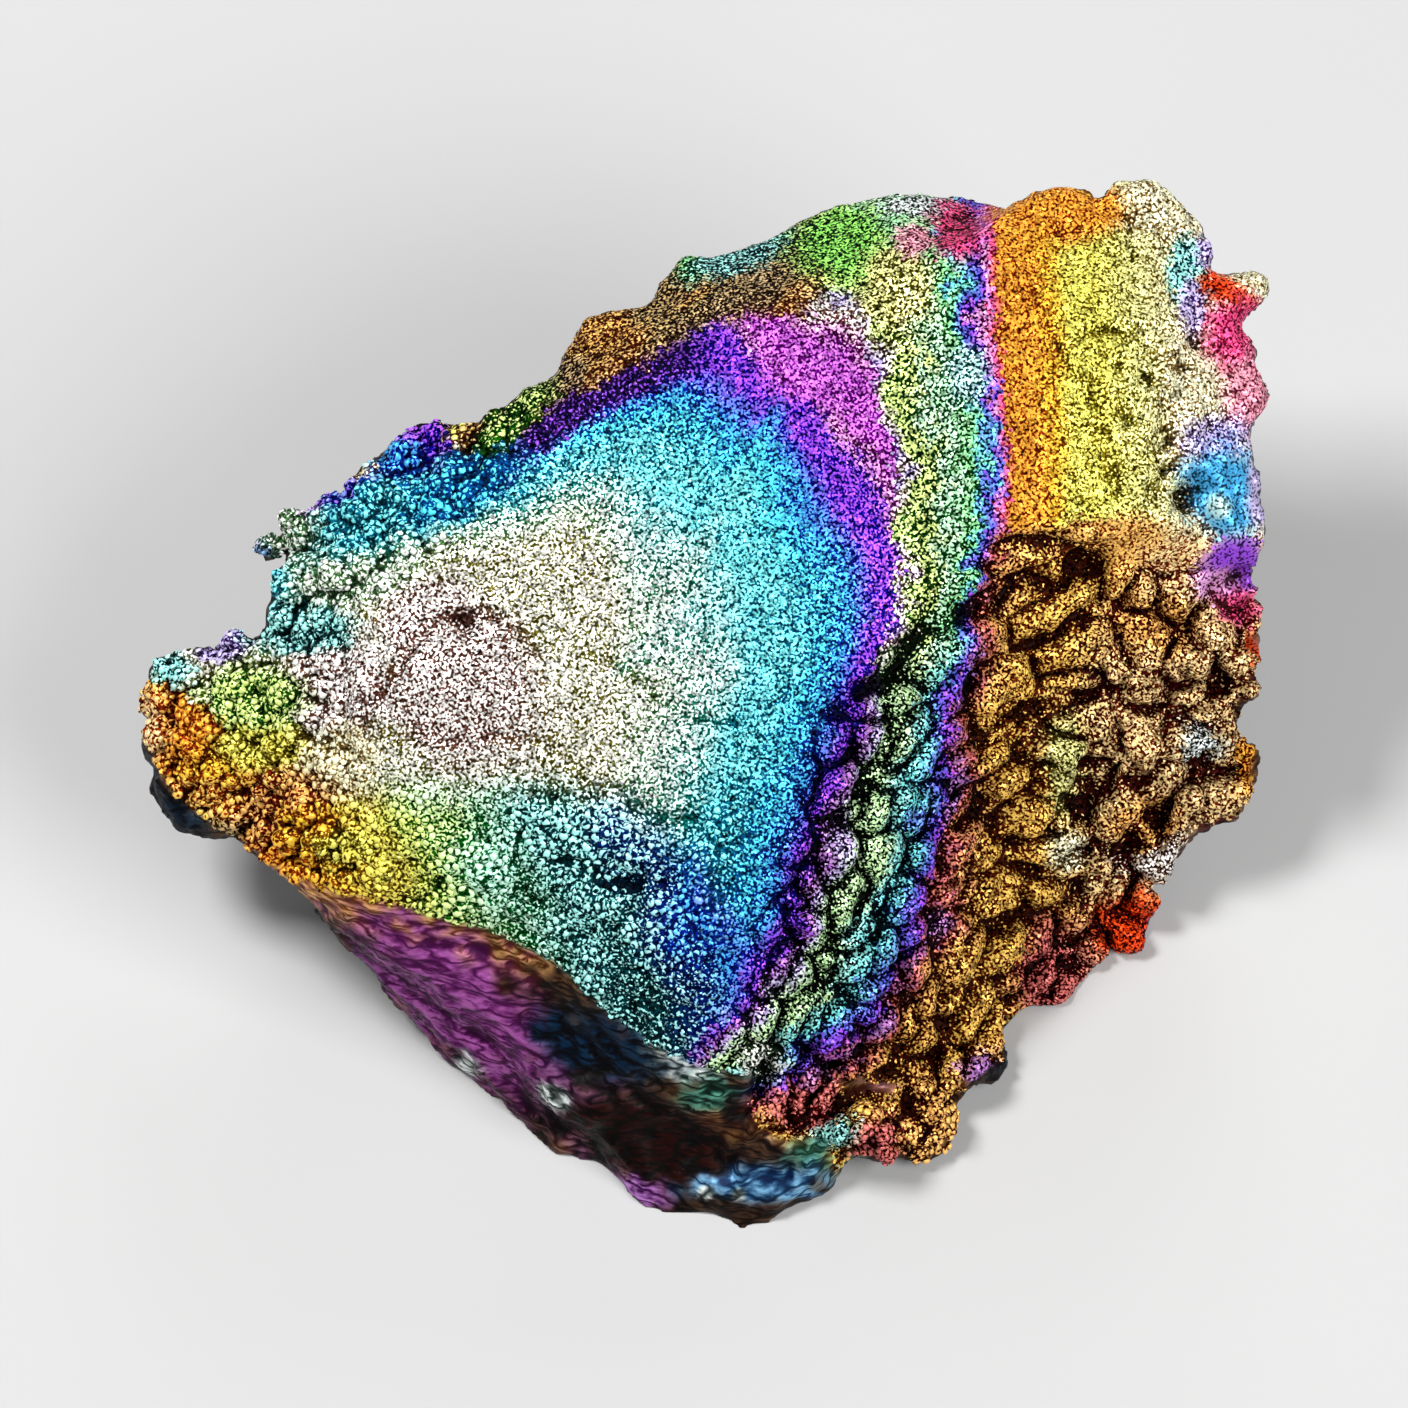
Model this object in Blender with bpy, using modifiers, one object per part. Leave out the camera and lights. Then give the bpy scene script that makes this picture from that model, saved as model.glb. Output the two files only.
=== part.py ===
"""A turgite hand specimen: one lump of iron oxide under a domed, botryoidal crust.

The form is laid out in the frame of its crust, in millimetres: a to the right, b up
the crust and c out of it. The stone lies on a broken underside, with its crust facing
up and forwards, so the finished form is leaned back and cut level at the ground.
"""
import math

import bmesh
import bpy
import numpy as np
from mathutils import Vector, noise

MM = 0.001

# Driving dimensions, in millimetres.
CRUST_LEAN = math.radians(30.0)     # the crust leans back from level by this much
CRUST_HEIGHT = 32.5                 # the crust frame's origin above the ground
HUB = (2.0, 2.0)                    # middle of the crust, as a and b
FOOT_HUB = (3.0, 0.0)               # middle of the foot, as x and y
SOLE_DEPTH = 1.6                    # how far the sole's edge reaches below the ground cut
SOLE_HOLLOW = 1.9                   # how far the sole rises towards its middle
VOXEL = 0.85                        # size of the cells that fuse the lumps into one skin
FACE_COUNT = 9700                   # faces left before the ground cut

# The crust's large form, in millimetres.
DOME_CENTRE = (-8.0, 2.0)
DOME_REACH = (60.0, 52.0)
DOME_SAG = 7.0
TIP_DROOP = 8.0
CREASE_FALL = 9.0
VALLEY_DEPTH = 1.8
VALLEY_WIDTH = 4.5
FLANK_FALL = 14.0
FLANK_REACH = 30.0
STEP_FALL = 2.4
PLATEAU = ((33.0, 30.0), 9.0, 12.0, 1.8)    # centre, half widths and height
SWIRL = ((-19.0, 2.0), 10.0, 8.0, 1.3)

# Low relief, in millimetres.
RIB_SPACING = 3.1
RIB_HEIGHT = 0.75
BEAD_SPACING = 4.2
BEAD_HEIGHT = 0.25
RIB_FAN = (22.0, -5.0)                      # the point that the ribs turn about
LEDGE_SPACING = 4.2
LEDGE_HEIGHT = 2.6
FRACTURE_HEIGHT = 1.5
FACET_HEIGHT = 0.9
CRUST_DEPTH = (5.0, 8.0)                    # the crust gives way to broken stone here
RINGED_MOUND = (13.2, 32.6)

# The crust's edge, seen square on, from the left tip over the top and round.
CRUST_RIM = [
    (-45.5, -1.5), (-44.0, 2.4), (-40.0, 4.0), (-36.0, 8.0), (-35.5, 12.5), (-32.0, 15.0),
    (-28.5, 16.5), (-24.5, 20.5), (-20.0, 21.8), (-16.0, 24.0), (-11.5, 28.5), (-8.0, 31.0),
    (-4.0, 34.0), (0.0, 37.5), (5.0, 39.2), (11.0, 42.4), (16.5, 43.4), (21.5, 43.2),
    (26.0, 42.2), (31.0, 41.2), (36.0, 41.3), (40.0, 39.0), (42.5, 36.0), (44.5, 32.0),
    (45.2, 28.0), (46.2, 22.0), (47.6, 17.0), (47.4, 8.0), (47.4, 3.0), (46.8, -3.0),
    (45.2, -8.5), (41.2, -11.5), (37.5, -16.0), (34.5, -20.0), (29.5, -24.0), (25.8, -28.0),
    (22.5, -31.5), (16.6, -32.3), (10.7, -31.5), (4.7, -31.7), (-0.3, -30.6), (-3.7, -28.9),
    (-8.0, -26.0), (-12.2, -21.7), (-17.3, -19.2), (-25.7, -17.1), (-34.2, -15.0),
    (-38.7, -11.4), (-41.6, -9.8), (-44.2, -6.4),
]

# Where the stone meets the ground, from above, as x and y.
FOOT = [
    (3.0, -34.6), (-8.0, -27.8), (-16.0, -22.0), (-22.0, -15.2), (-26.0, -6.0), (-26.0, 6.0),
    (-20.0, 16.0), (-8.0, 23.0), (6.0, 28.0), (20.0, 30.0), (32.0, 26.0), (36.0, 14.0),
    (33.0, 2.0), (27.0, -8.0), (20.0, -18.0), (12.0, -28.0),
]

# How far the side swells between rim and foot, by compass angle in degrees.
SIDE_SWELL = [
    (-170, -1.0), (-145, 1.2), (-125, 1.0), (-105, 0.0), (-90, -2.0), (-70, -1.5), (-40, -1.0),
    (-15, -2.0), (20, 0.0), (60, 3.0), (100, 4.0), (150, 2.0), (180, -3.0),
]

# How far the crust bends down at its rim, by compass angle in degrees.
RIM_DROP = [
    (-160, 4.0), (-135, 6.0), (-110, 5.0), (-85, 4.0), (-50, 3.0), (0, 4.0), (45, 4.0),
    (90, 2.5), (130, 3.0), (180, 4.0),
]

# Lines on the crust. A slope falls on the right of each, along its direction.
SHOULDER = [(2, -38), (3, -29), (7, -12), (11, 0), (17, 5), (25, 14), (38, 15), (50, 13)]
CREASE = [(17, 37), (11.5, 34.0), (-0.3, 30.7), (-8.8, 26.9), (-19.0, 19.7), (-30, 14)]
VALLEY = [(12.3, 36), (12.3, 33.2), (16.6, 21.4), (18.3, 12.1), (16.6, 4.5)]

# Round knobs along the rim and on the flank: a, b and radius.
LEFT_TIP_KNOBS = [
    (-45.4, 2.6, 1.7), (-46.3, 0.0, 1.4), (-46.3, -3.6, 1.4), (-45.2, -7.2, 1.7),
    (-42.4, 3.4, 1.6), (-39.2, 4.8, 1.5), (-43.6, -9.6, 1.5), (-41.1, -10.4, 1.3),
    (-43.3, -3.1, 2.2), (-41.0, -6.6, 1.9), (-40.4, 0.6, 1.8),
]
UPPER_LEFT_KNOBS = [
    (-36.6, 13.1, 1.4), (-34.2, 14.8, 1.8), (-34.6, 10.2, 1.8), (-30.6, 10.6, 1.8),
    (-35.4, 7.7, 1.4), (-31.5, 16.0, 1.6), (-28.9, 16.5, 1.8), (-27.7, 18.7, 1.6),
    (-25.5, 20.5, 1.6), (-23.2, 22.0, 1.8), (-20.6, 22.7, 1.1), (-18.8, 22.4, 1.3),
    (-17.1, 23.4, 1.4), (-14.5, 25.4, 1.4),
]
CREST_KNOBS = [
    (-10.9, 29.0, 1.2), (-9.2, 31.2, 1.6), (-6.7, 31.7, 1.5), (-5.2, 30.4, 1.3),
    (-1.2, 36.5, 1.5), (-3.0, 34.6, 1.3),
]
TOP_KNOBS = [
    (28.4, 41.8, 1.5), (30.6, 42.3, 1.5), (32.3, 41.2, 1.4), (35.2, 42.9, 1.4),
    (37.4, 42.7, 1.6), (39.1, 41.4, 1.5), (40.6, 39.9, 1.4), (42.0, 38.0, 1.2),
]
RIGHT_KNOBS = [
    (46.2, 35.1, 1.6), (44.3, 34.1, 2.0), (43.1, 31.5, 1.6), (46.0, 26.0, 1.8),
    (44.8, 24.6, 1.5), (45.4, 29.7, 1.4),
]
LOW_RIGHT_KNOBS = [
    (33.7, -17.2, 1.5), (35.8, -18.0, 1.4), (37.7, -17.2, 1.4), (36.6, -20.4, 1.6),
    (33.1, -19.7, 1.4), (32.4, -22.4, 1.2), (30.1, -21.7, 1.5), (29.3, -24.8, 1.6),
    (27.6, -23.9, 1.4), (31.0, -24.0, 1.3),
]
LOWER_KNOBS = [
    (23.8, -31.0, 1.4), (22.1, -31.2, 1.4), (25.0, -29.8, 1.3), (19.1, -34.3, 1.9),
    (19.3, -36.7, 1.8), (17.8, -37.4, 1.5), (14.2, -36.3, 1.9), (12.3, -35.5, 1.5),
    (15.1, -37.6, 1.3),
]
RIB_END_KNOBS = [
    (25.5, -17.1, 1.4), (25.2, -20.0, 1.4), (25.0, -23.0, 1.4), (24.2, -26.0, 1.4),
    (23.7, -28.5, 1.2), (20.8, -30.4, 1.2), (17.0, -31.0, 1.2), (14.0, -30.4, 1.2),
]

# Sausage-like lobes low on the right: a, b, half length, half width and turn in degrees.
GOLD_LOBES = [
    (36.4, 2.6, 3.2, 1.6, 20), (43.2, 4.5, 4.2, 1.4, 5), (45.4, 1.4, 2.0, 1.5, -10),
    (35.3, 0.7, 2.4, 1.1, 20), (34.2, -0.8, 2.2, 1.8, 10), (39.9, 0.0, 2.4, 1.3, 25),
    (41.4, -1.3, 1.9, 1.2, 30), (44.0, 0.0, 1.5, 1.6, 0), (36.4, -4.0, 3.3, 2.7, 30),
    (41.3, -3.1, 1.7, 1.2, 0), (46.2, -5.2, 1.3, 2.7, 0), (41.3, -7.6, 2.5, 2.1, 20),
    (44.8, -8.8, 1.5, 1.7, 0), (34.9, -8.4, 2.8, 1.6, -10), (39.7, -11.1, 3.4, 1.4, 15),
    (33.7, -10.7, 1.2, 1.2, 0), (38.1, -12.4, 2.3, 2.1, 30), (33.4, -14.3, 2.3, 1.3, 25),
    (37.2, -15.3, 1.4, 1.4, 0), (30.4, -5.0, 1.4, 2.2, 0), (30.3, -11.0, 1.4, 1.4, 0),
]

# Ledges at the front foot, as x, y, z and the three half sizes.
LEDGES = [
    (7.0, -23.6, 3.8, 9.0, 4.8, 3.0), (3.5, -26.6, 1.2, 8.4, 4.6, 2.2),
    (-7.0, -21.2, 5.0, 6.5, 3.6, 3.0), (17.0, -21.6, 1.6, 4.6, 3.4, 2.4),
]

# Pits and hollows in the crust: a, b, radius and depth.
PITS = [
    (41.0, 17.2, 1.5, 3.2), (42.2, 14.6, 1.2, 2.6), (45.4, 9.8, 1.3, 2.6),
    (41.5, 30.5, 1.0, 1.6), (-20.5, 8.0, 3.2, 0.9), (45.1, -4.1, 0.9, 1.6),
    (32.2, 10.5, 1.8, 1.2), (-31.0, -13.4, 1.6, 1.2), (-7.5, -14.5, 1.8, 0.9),
]

STONE_COLOUR = (0.24, 0.30, 0.26, 1.0)
STONE_ROUGHNESS = 0.38
STONE_METALLIC = 0.75


def clear_scene():
    for item in list(bpy.data.objects):
        bpy.data.objects.remove(item, do_unlink=True)


def rise(value, start, end):
    """A smooth step from 0 at start to 1 at end, which may run either way."""
    step = np.clip((value - start) / (end - start), 0.0, 1.0)
    return step * step * (3.0 - 2.0 * step)


def around(table, degrees):
    """A value read from a table of (compass angle, value), smooth round the circle."""
    angles = [angle for angle, _ in table]
    values = [value for _, value in table]
    return np.interp(degrees, angles, values, period=360.0)


def ring_radius(outline, hub, angles):
    """Distance from the hub to an outline at each angle, on a smooth closed curve."""
    points = np.array(outline) - np.array(hub)
    bearings = np.arctan2(points[:, 1], points[:, 0])
    order = np.argsort(bearings)
    lengths = np.hypot(points[:, 0], points[:, 1])[order]
    bearings = bearings[order]
    fine = np.linspace(-math.pi, math.pi, 721)
    coarse = np.interp(fine, bearings, lengths, period=2.0 * math.pi)
    blur = np.ones(5) / 5.0
    padded = np.concatenate([coarse[-3:-1], coarse, coarse[1:3]])
    return np.interp(angles, fine, np.convolve(padded, blur, mode="valid"))


def beside(line, a, b):
    """Signed distance from a line of points, positive on the right of its direction."""
    nearest = np.full(a.shape, 1.0e6)
    side = np.ones(a.shape)
    for (a0, b0), (a1, b1) in zip(line, line[1:]):
        step_a = a1 - a0
        step_b = b1 - b0
        along = ((a - a0) * step_a + (b - b0) * step_b) / (step_a**2 + step_b**2)
        along = np.clip(along, 0.0, 1.0)
        gap_a = a - a0 - along * step_a
        gap_b = b - b0 - along * step_b
        gap = np.hypot(gap_a, gap_b)
        closer = gap < nearest
        side = np.where(closer, np.sign(gap_a * step_b - gap_b * step_a), side)
        nearest = np.where(closer, gap, nearest)
    return side * nearest


def mound(a, b, centre, width_a, width_b):
    """A smooth bump of height 1."""
    return np.exp(-(((a - centre[0]) / width_a) ** 2) - ((b - centre[1]) / width_b) ** 2)


def crust_height(a, b):
    """Height of the crust above its frame: a wide dome, a crease, a valley and a flank."""
    height = -DOME_SAG * ((a - DOME_CENTRE[0]) / DOME_REACH[0]) ** 2
    height -= DOME_SAG * ((b - DOME_CENTRE[1]) / DOME_REACH[1]) ** 2
    height -= TIP_DROOP * rise(a, -25.0, -48.0)
    height -= CREASE_FALL * rise(beside(CREASE, a, b), -1.0, 10.0)
    height -= VALLEY_DEPTH * np.exp(-((beside(VALLEY, a, b) / VALLEY_WIDTH) ** 2))
    for centre, width_a, width_b, tall in (PLATEAU, SWIRL):
        height += tall * mound(a, b, centre, width_a, width_b)
    flank = beside(SHOULDER, a, b)
    height -= FLANK_FALL * rise(flank, -2.0, FLANK_REACH)
    height -= STEP_FALL * rise(flank, -0.5, 2.5) * rise(a, 19.0, 27.0)
    return height


def to_ground(points):
    """Crust-frame points leaned back into upright x, y and z."""
    a, b, c = points[:, 0], points[:, 1], points[:, 2]
    y = b * math.cos(CRUST_LEAN) - c * math.sin(CRUST_LEAN)
    z = b * math.sin(CRUST_LEAN) + c * math.cos(CRUST_LEAN) + CRUST_HEIGHT
    return np.stack([a, y, z], axis=1)


def to_crust(points):
    """Upright points turned into the crust frame."""
    x, y, z = points[:, 0], points[:, 1], points[:, 2] - CRUST_HEIGHT
    b = y * math.cos(CRUST_LEAN) + z * math.sin(CRUST_LEAN)
    c = z * math.cos(CRUST_LEAN) - y * math.sin(CRUST_LEAN)
    return np.stack([x, b, c], axis=1)


def rim_bend(a, b):
    """How far the crust has bent down towards its rim at a and b."""
    bearing = np.arctan2(b - HUB[1], a - HUB[0])
    out = np.hypot(a - HUB[0], b - HUB[1]) / ring_radius(CRUST_RIM, HUB, bearing)
    return around(RIM_DROP, np.degrees(bearing)) * np.clip(out, 0.0, 1.0) ** 5


def on_crust(a, b, sink):
    """An upright point at a and b, sunk into the crust."""
    a, b = np.array([a]), np.array([b])
    c = crust_height(a, b) - rim_bend(a, b) - sink
    return Vector(to_ground(np.stack([a, b, c], axis=1))[0])


def read_points(mesh):
    """A mesh's points as an array."""
    flat = np.empty(len(mesh.vertices) * 3)
    mesh.vertices.foreach_get("co", flat)
    return flat.reshape(-1, 3)


def write_points(mesh, points):
    mesh.vertices.foreach_set("co", np.ascontiguousarray(points).ravel())
    mesh.update()


def lofted(unit):
    """Carry a unit sphere's points onto the stone: crust on top, side, then base."""
    bearing = np.arctan2(unit[:, 1], unit[:, 0])
    polar = np.arccos(np.clip(unit[:, 2], -1.0, 1.0)) / math.pi
    crust_share, side_share = 0.5, 0.9
    out = np.clip(polar / crust_share, 0.0, 1.0)
    rim = ring_radius(CRUST_RIM, HUB, bearing)
    a = HUB[0] + out * rim * np.cos(bearing)
    b = HUB[1] + out * rim * np.sin(bearing)
    c = crust_height(a, b) - rim_bend(a, b)
    top = to_ground(np.stack([a, b, c], axis=1))
    foot = ring_radius(FOOT, FOOT_HUB, bearing)
    down = np.clip((polar - crust_share) / (side_share - crust_share), 0.0, 1.0)
    under = np.clip((1.0 - polar) / (1.0 - side_share), 0.0, 1.0)
    swell = around(SIDE_SWELL, np.degrees(bearing)) * np.sin(math.pi * down)
    x = FOOT_HUB[0] + under * foot * np.cos(bearing)
    y = FOOT_HUB[1] + under * foot * np.sin(bearing)
    sole = SOLE_HOLLOW * (1.0 - under**2) - SOLE_DEPTH
    base = np.stack([x, y, sole], axis=1)
    outward = np.stack([np.cos(bearing), np.sin(bearing), np.zeros(x.shape)], axis=1)
    side = top + (base - top) * down[:, None] + outward * swell[:, None]
    return np.where(polar[:, None] < crust_share, top, side)


def make_body():
    """The lump without its knobs, from a sphere laid over the loft."""
    bpy.ops.mesh.primitive_uv_sphere_add(segments=240, ring_count=130, radius=1.0)
    body = bpy.context.active_object
    write_points(body.data, lofted(read_points(body.data)))
    return body


def add_ball(centre, half_sizes, turn=0.0, lean=CRUST_LEAN):
    """An ellipsoid at an upright point, turned in the plane of the crust."""
    bpy.ops.mesh.primitive_ico_sphere_add(subdivisions=3, radius=1.0)
    ball = bpy.context.active_object
    ball.scale = half_sizes
    ball.rotation_euler = (0.0, 0.0, math.radians(turn))
    bpy.ops.object.transform_apply(location=False, rotation=True, scale=True)
    ball.rotation_euler = (lean, 0.0, 0.0)
    ball.location = centre
    bpy.ops.object.transform_apply(location=True, rotation=True, scale=False)
    return ball


def make_knobs():
    """Every knob, lobe and ledge that stands on the body."""
    balls = []
    fringe = LEFT_TIP_KNOBS + UPPER_LEFT_KNOBS + CREST_KNOBS + TOP_KNOBS + RIGHT_KNOBS
    for a, b, radius in fringe:
        balls.append(add_ball(on_crust(a, b, 1.4), (radius, radius, radius * 1.7)))
    for a, b, radius in LOW_RIGHT_KNOBS:
        balls.append(add_ball(on_crust(a, b, 0.9), (radius, radius, radius * 1.5)))
    for a, b, radius in LOWER_KNOBS:
        balls.append(add_ball(on_crust(a, b, -3.2), (radius, radius, radius * 1.4)))
    for a, b, radius in RIB_END_KNOBS:
        balls.append(add_ball(on_crust(a, b, 0.1), (radius, radius, radius)))
    for a, b, long, wide, turn in GOLD_LOBES:
        height = 0.5 * (long + wide)
        balls.append(add_ball(on_crust(a, b, -0.7), (long, wide, height), turn))
    for x, y, z, size_x, size_y, size_z in LEDGES:
        balls.append(add_ball((x, y, z), (size_x, size_y, size_z), lean=0.0))
    return balls


def only(item):
    """Select one object and make it active."""
    bpy.ops.object.select_all(action="DESELECT")
    item.select_set(True)
    bpy.context.view_layer.objects.active = item


def apply(item, kind, **settings):
    """Add a modifier with its settings and apply it."""
    only(item)
    modifier = item.modifiers.new(kind.title(), kind)
    for name, value in settings.items():
        setattr(modifier, name, value)
    bpy.ops.object.modifier_apply(modifier=modifier.name)


def fuse(body, balls):
    """Join the pieces and skin them over as one closed surface."""
    only(body)
    for ball in balls:
        ball.select_set(True)
    bpy.ops.object.join()
    apply(body, "REMESH", mode="VOXEL", voxel_size=VOXEL, use_smooth_shade=True)
    apply(body, "SMOOTH", factor=0.5, iterations=2)


def grain(points, size, octaves=3):
    """Fractal noise at each point, about -1 to 1, with features of the given size."""
    values = [
        noise.fractal(Vector(point) / size, 1.0, 2.0, octaves) for point in points
    ]
    return np.array(values)


def rib_relief(a, b, ripple):
    """Rounded ribs with sharp grooves, which fan out down the flank."""
    steep, shallow = 44.0, 22.0
    slant = np.radians(steep + (shallow - steep) * rise(a, 16.0, 31.0))
    fan_a = a - RIB_FAN[0]
    fan_b = b - RIB_FAN[1]
    across = fan_b * np.cos(slant) - fan_a * np.sin(slant) + 1.1 * ripple
    along = fan_a * np.cos(slant) + fan_b * np.sin(slant) + 1.5 * ripple
    ribs = np.abs(np.cos(math.pi * across / RIB_SPACING)) - 0.6
    beads = np.abs(np.cos(math.pi * along / BEAD_SPACING)) - 0.6
    return RIB_HEIGHT * ribs + BEAD_HEIGHT * beads


def crust_relief(a, b, ripple):
    """Low relief on the crust: ribs, swirl, wrinkles and broad unevenness."""
    flank = beside(SHOULDER, a, b)
    ribbed = rise(flank, -3.5, 3.0) * rise(a, 34.0, 30.0)
    relief = ribbed * rib_relief(a, b, ripple)
    swirl = np.hypot(a - SWIRL[0][0], b - SWIRL[0][1])
    relief += 0.2 * np.cos(swirl * 1.2 + 3.5 * ripple) * np.exp(-((swirl / 12.0) ** 2))
    wrinkled = mound(a, b, (38.5, 24.0), 5.0, 10.0)
    relief += 0.45 * wrinkled * np.sin(1.7 * a - 0.5 * b + 2.5 * ripple)
    lower_dome = rise(b, -4.0, -12.0) * rise(flank, 0.0, -4.0)
    relief += (0.3 + 0.45 * lower_dome) * ripple
    ringed = np.hypot(a - RINGED_MOUND[0], b - RINGED_MOUND[1])
    relief += np.exp(-((ringed / 1.7) ** 2)) - 0.5 * np.exp(-(((ringed - 2.7) / 0.8) ** 2))
    return relief


def carve(body):
    """Move the skin along its normals: relief on the crust, fracture everywhere else."""
    mesh = body.data
    points = read_points(mesh)
    normals = np.array([vertex.normal[:] for vertex in mesh.vertices])
    crust = to_crust(points)
    facing = to_crust(normals + np.array([0.0, 0.0, CRUST_HEIGHT]))[:, 2]
    a, b, c = crust[:, 0], crust[:, 1], crust[:, 2]
    depth = crust_height(a, b) - c
    shallow = rise(-depth, -CRUST_DEPTH[1], -CRUST_DEPTH[0])
    skin = rise(facing, 0.15, 0.5) * shallow
    ripple = grain(points, 5.5)
    move = skin * crust_relief(a, b, ripple)
    lower_left = rise(b, -8.0, -13.0) * rise(a, 16.0, 8.0)
    ledge = np.abs(((depth + 1.6 * ripple) / LEDGE_SPACING) % 1.0 - 0.5) - 0.25
    facets = np.round(2.0 * grain(points, 15.0, 1)) / 2.0
    fracture = FRACTURE_HEIGHT * grain(points, 11.0) + FACET_HEIGHT * facets
    move += (1.0 - skin) * lower_left * ledge * LEDGE_HEIGHT
    move += (1.0 - shallow) * (1.0 - 0.6 * lower_left) * fracture
    for pit_a, pit_b, radius, hollow in PITS:
        away = np.hypot(a - pit_a, b - pit_b) / radius
        move -= rise(facing, 0.0, 0.3) * hollow * np.exp(-(away**3))
    write_points(mesh, points + normals * move[:, None])
    apply(body, "SMOOTH", factor=0.4, iterations=1)


def thin_out(body):
    """Fewer faces, kept where the surface turns most."""
    apply(body, "TRIANGULATE")
    apply(body, "DECIMATE", ratio=FACE_COUNT / len(body.data.polygons))


def level_base(body, cutters):
    """Cut the stone flat at the ground, so that it rests on its underside."""
    reach = 150.0
    bpy.ops.mesh.primitive_cube_add(size=reach, location=(0.0, 0.0, -0.5 * reach))
    ground = bpy.context.active_object
    ground.name = "ground_cutter"
    ground.hide_render = True
    ground.display_type = "WIRE"
    for home in list(ground.users_collection):
        home.objects.unlink(ground)
    cutters.objects.link(ground)
    apply(body, "BOOLEAN", operation="DIFFERENCE", solver="EXACT", object=ground)
    bpy.data.objects.remove(ground, do_unlink=True)


def connected(start):
    """Every point that can be reached along edges from one point."""
    found = {start}
    waiting = [start]
    while waiting:
        for edge in waiting.pop().link_edges:
            for vert in edge.verts:
                if vert not in found:
                    found.add(vert)
                    waiting.append(vert)
    return found


def drop_crumbs(bm):
    """Keep the stone and delete any crumb that the cut has set loose."""
    left = set(bm.verts)
    islands = []
    while left:
        island = connected(next(iter(left)))
        islands.append(island)
        left -= island
    stone = max(islands, key=len)
    crumbs = [vert for vert in bm.verts if vert not in stone]
    bmesh.ops.delete(bm, geom=crumbs, context="VERTS")


def tidy(body):
    """Merge slivers left by the cut and triangulate."""
    bm = bmesh.new()
    bm.from_mesh(body.data)
    drop_crumbs(bm)
    bmesh.ops.remove_doubles(bm, verts=bm.verts, dist=0.04)
    bmesh.ops.dissolve_degenerate(bm, edges=bm.edges, dist=0.02)
    bmesh.ops.triangulate(bm, faces=bm.faces)
    bmesh.ops.recalc_face_normals(bm, faces=bm.faces)
    bm.to_mesh(body.data)
    bm.free()


def settle(body):
    """Scale to metres, with the origin under the middle of the stone."""
    points = read_points(body.data)
    low = points.min(axis=0)
    high = points.max(axis=0)
    middle = np.array([0.5 * (low[0] + high[0]), 0.5 * (low[1] + high[1]), low[2]])
    write_points(body.data, (points - middle) * MM)


def stone_material():
    material = bpy.data.materials.new("iridescent_iron_oxide")
    material.use_nodes = True
    shader = material.node_tree.nodes["Principled BSDF"]
    shader.inputs["Base Color"].default_value = STONE_COLOUR
    shader.inputs["Roughness"].default_value = STONE_ROUGHNESS
    shader.inputs["Metallic"].default_value = STONE_METALLIC
    return material


def build():
    clear_scene()
    specimen = bpy.data.collections.new("turgite_specimen")
    cutters = bpy.data.collections.new("cutters")
    bpy.context.scene.collection.children.link(specimen)
    bpy.context.scene.collection.children.link(cutters)
    body = make_body()
    fuse(body, make_knobs())
    carve(body)
    thin_out(body)
    level_base(body, cutters)
    tidy(body)
    settle(body)
    body.name = "turgite_specimen"
    body.data.name = "turgite_specimen"
    for home in list(body.users_collection):
        home.objects.unlink(body)
    specimen.objects.link(body)
    body.data.materials.clear()
    body.data.materials.append(stone_material())
    body.data.shade_smooth()
    body.data.set_sharp_from_angle(angle=math.radians(50.0))


build()
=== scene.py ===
import math

import bpy
import numpy as np
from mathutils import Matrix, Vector, kdtree, noise


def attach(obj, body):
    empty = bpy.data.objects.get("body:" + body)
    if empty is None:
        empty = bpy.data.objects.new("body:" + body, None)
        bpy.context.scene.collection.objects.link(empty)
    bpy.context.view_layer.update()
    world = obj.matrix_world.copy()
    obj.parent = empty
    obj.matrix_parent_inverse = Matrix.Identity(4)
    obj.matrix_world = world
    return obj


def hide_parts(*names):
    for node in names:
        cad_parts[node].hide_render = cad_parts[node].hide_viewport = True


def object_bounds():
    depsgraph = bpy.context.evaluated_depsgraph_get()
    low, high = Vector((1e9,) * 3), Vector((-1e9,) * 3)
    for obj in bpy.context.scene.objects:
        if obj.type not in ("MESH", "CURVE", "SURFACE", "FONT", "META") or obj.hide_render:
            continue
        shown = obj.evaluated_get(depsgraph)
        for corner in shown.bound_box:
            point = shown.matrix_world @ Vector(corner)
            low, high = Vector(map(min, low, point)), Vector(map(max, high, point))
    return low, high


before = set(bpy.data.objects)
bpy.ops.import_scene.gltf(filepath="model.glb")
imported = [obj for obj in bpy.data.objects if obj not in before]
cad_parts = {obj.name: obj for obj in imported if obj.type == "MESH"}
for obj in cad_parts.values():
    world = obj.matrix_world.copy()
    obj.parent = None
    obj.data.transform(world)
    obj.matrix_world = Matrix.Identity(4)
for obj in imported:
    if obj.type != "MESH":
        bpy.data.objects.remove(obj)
solid_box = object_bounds()

# ---------------------------------------------------------------------------------------
# The stone. A turgite lump is a growth of layered iron oxide under a thin domed crust. It
# was broken from its rock below, so its sides show the layers and its top the growth. The
# solid is skinned afresh in small even cells, and the fine relief is raised on that.

# Lengths are in millimetres. On the crust, a runs right, b up its slope and c out of it.
MM = 0.001
SKIN_CELL = 0.50                    # width of one cell of the skin
CRUST_LEAN = math.radians(30.0)     # the crust is tilted, with its far side this much up
CRUST_ORIGIN = np.array([0.04, -6.79, 32.5])
DOME_CENTRE = (-8.0, 2.0)
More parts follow.
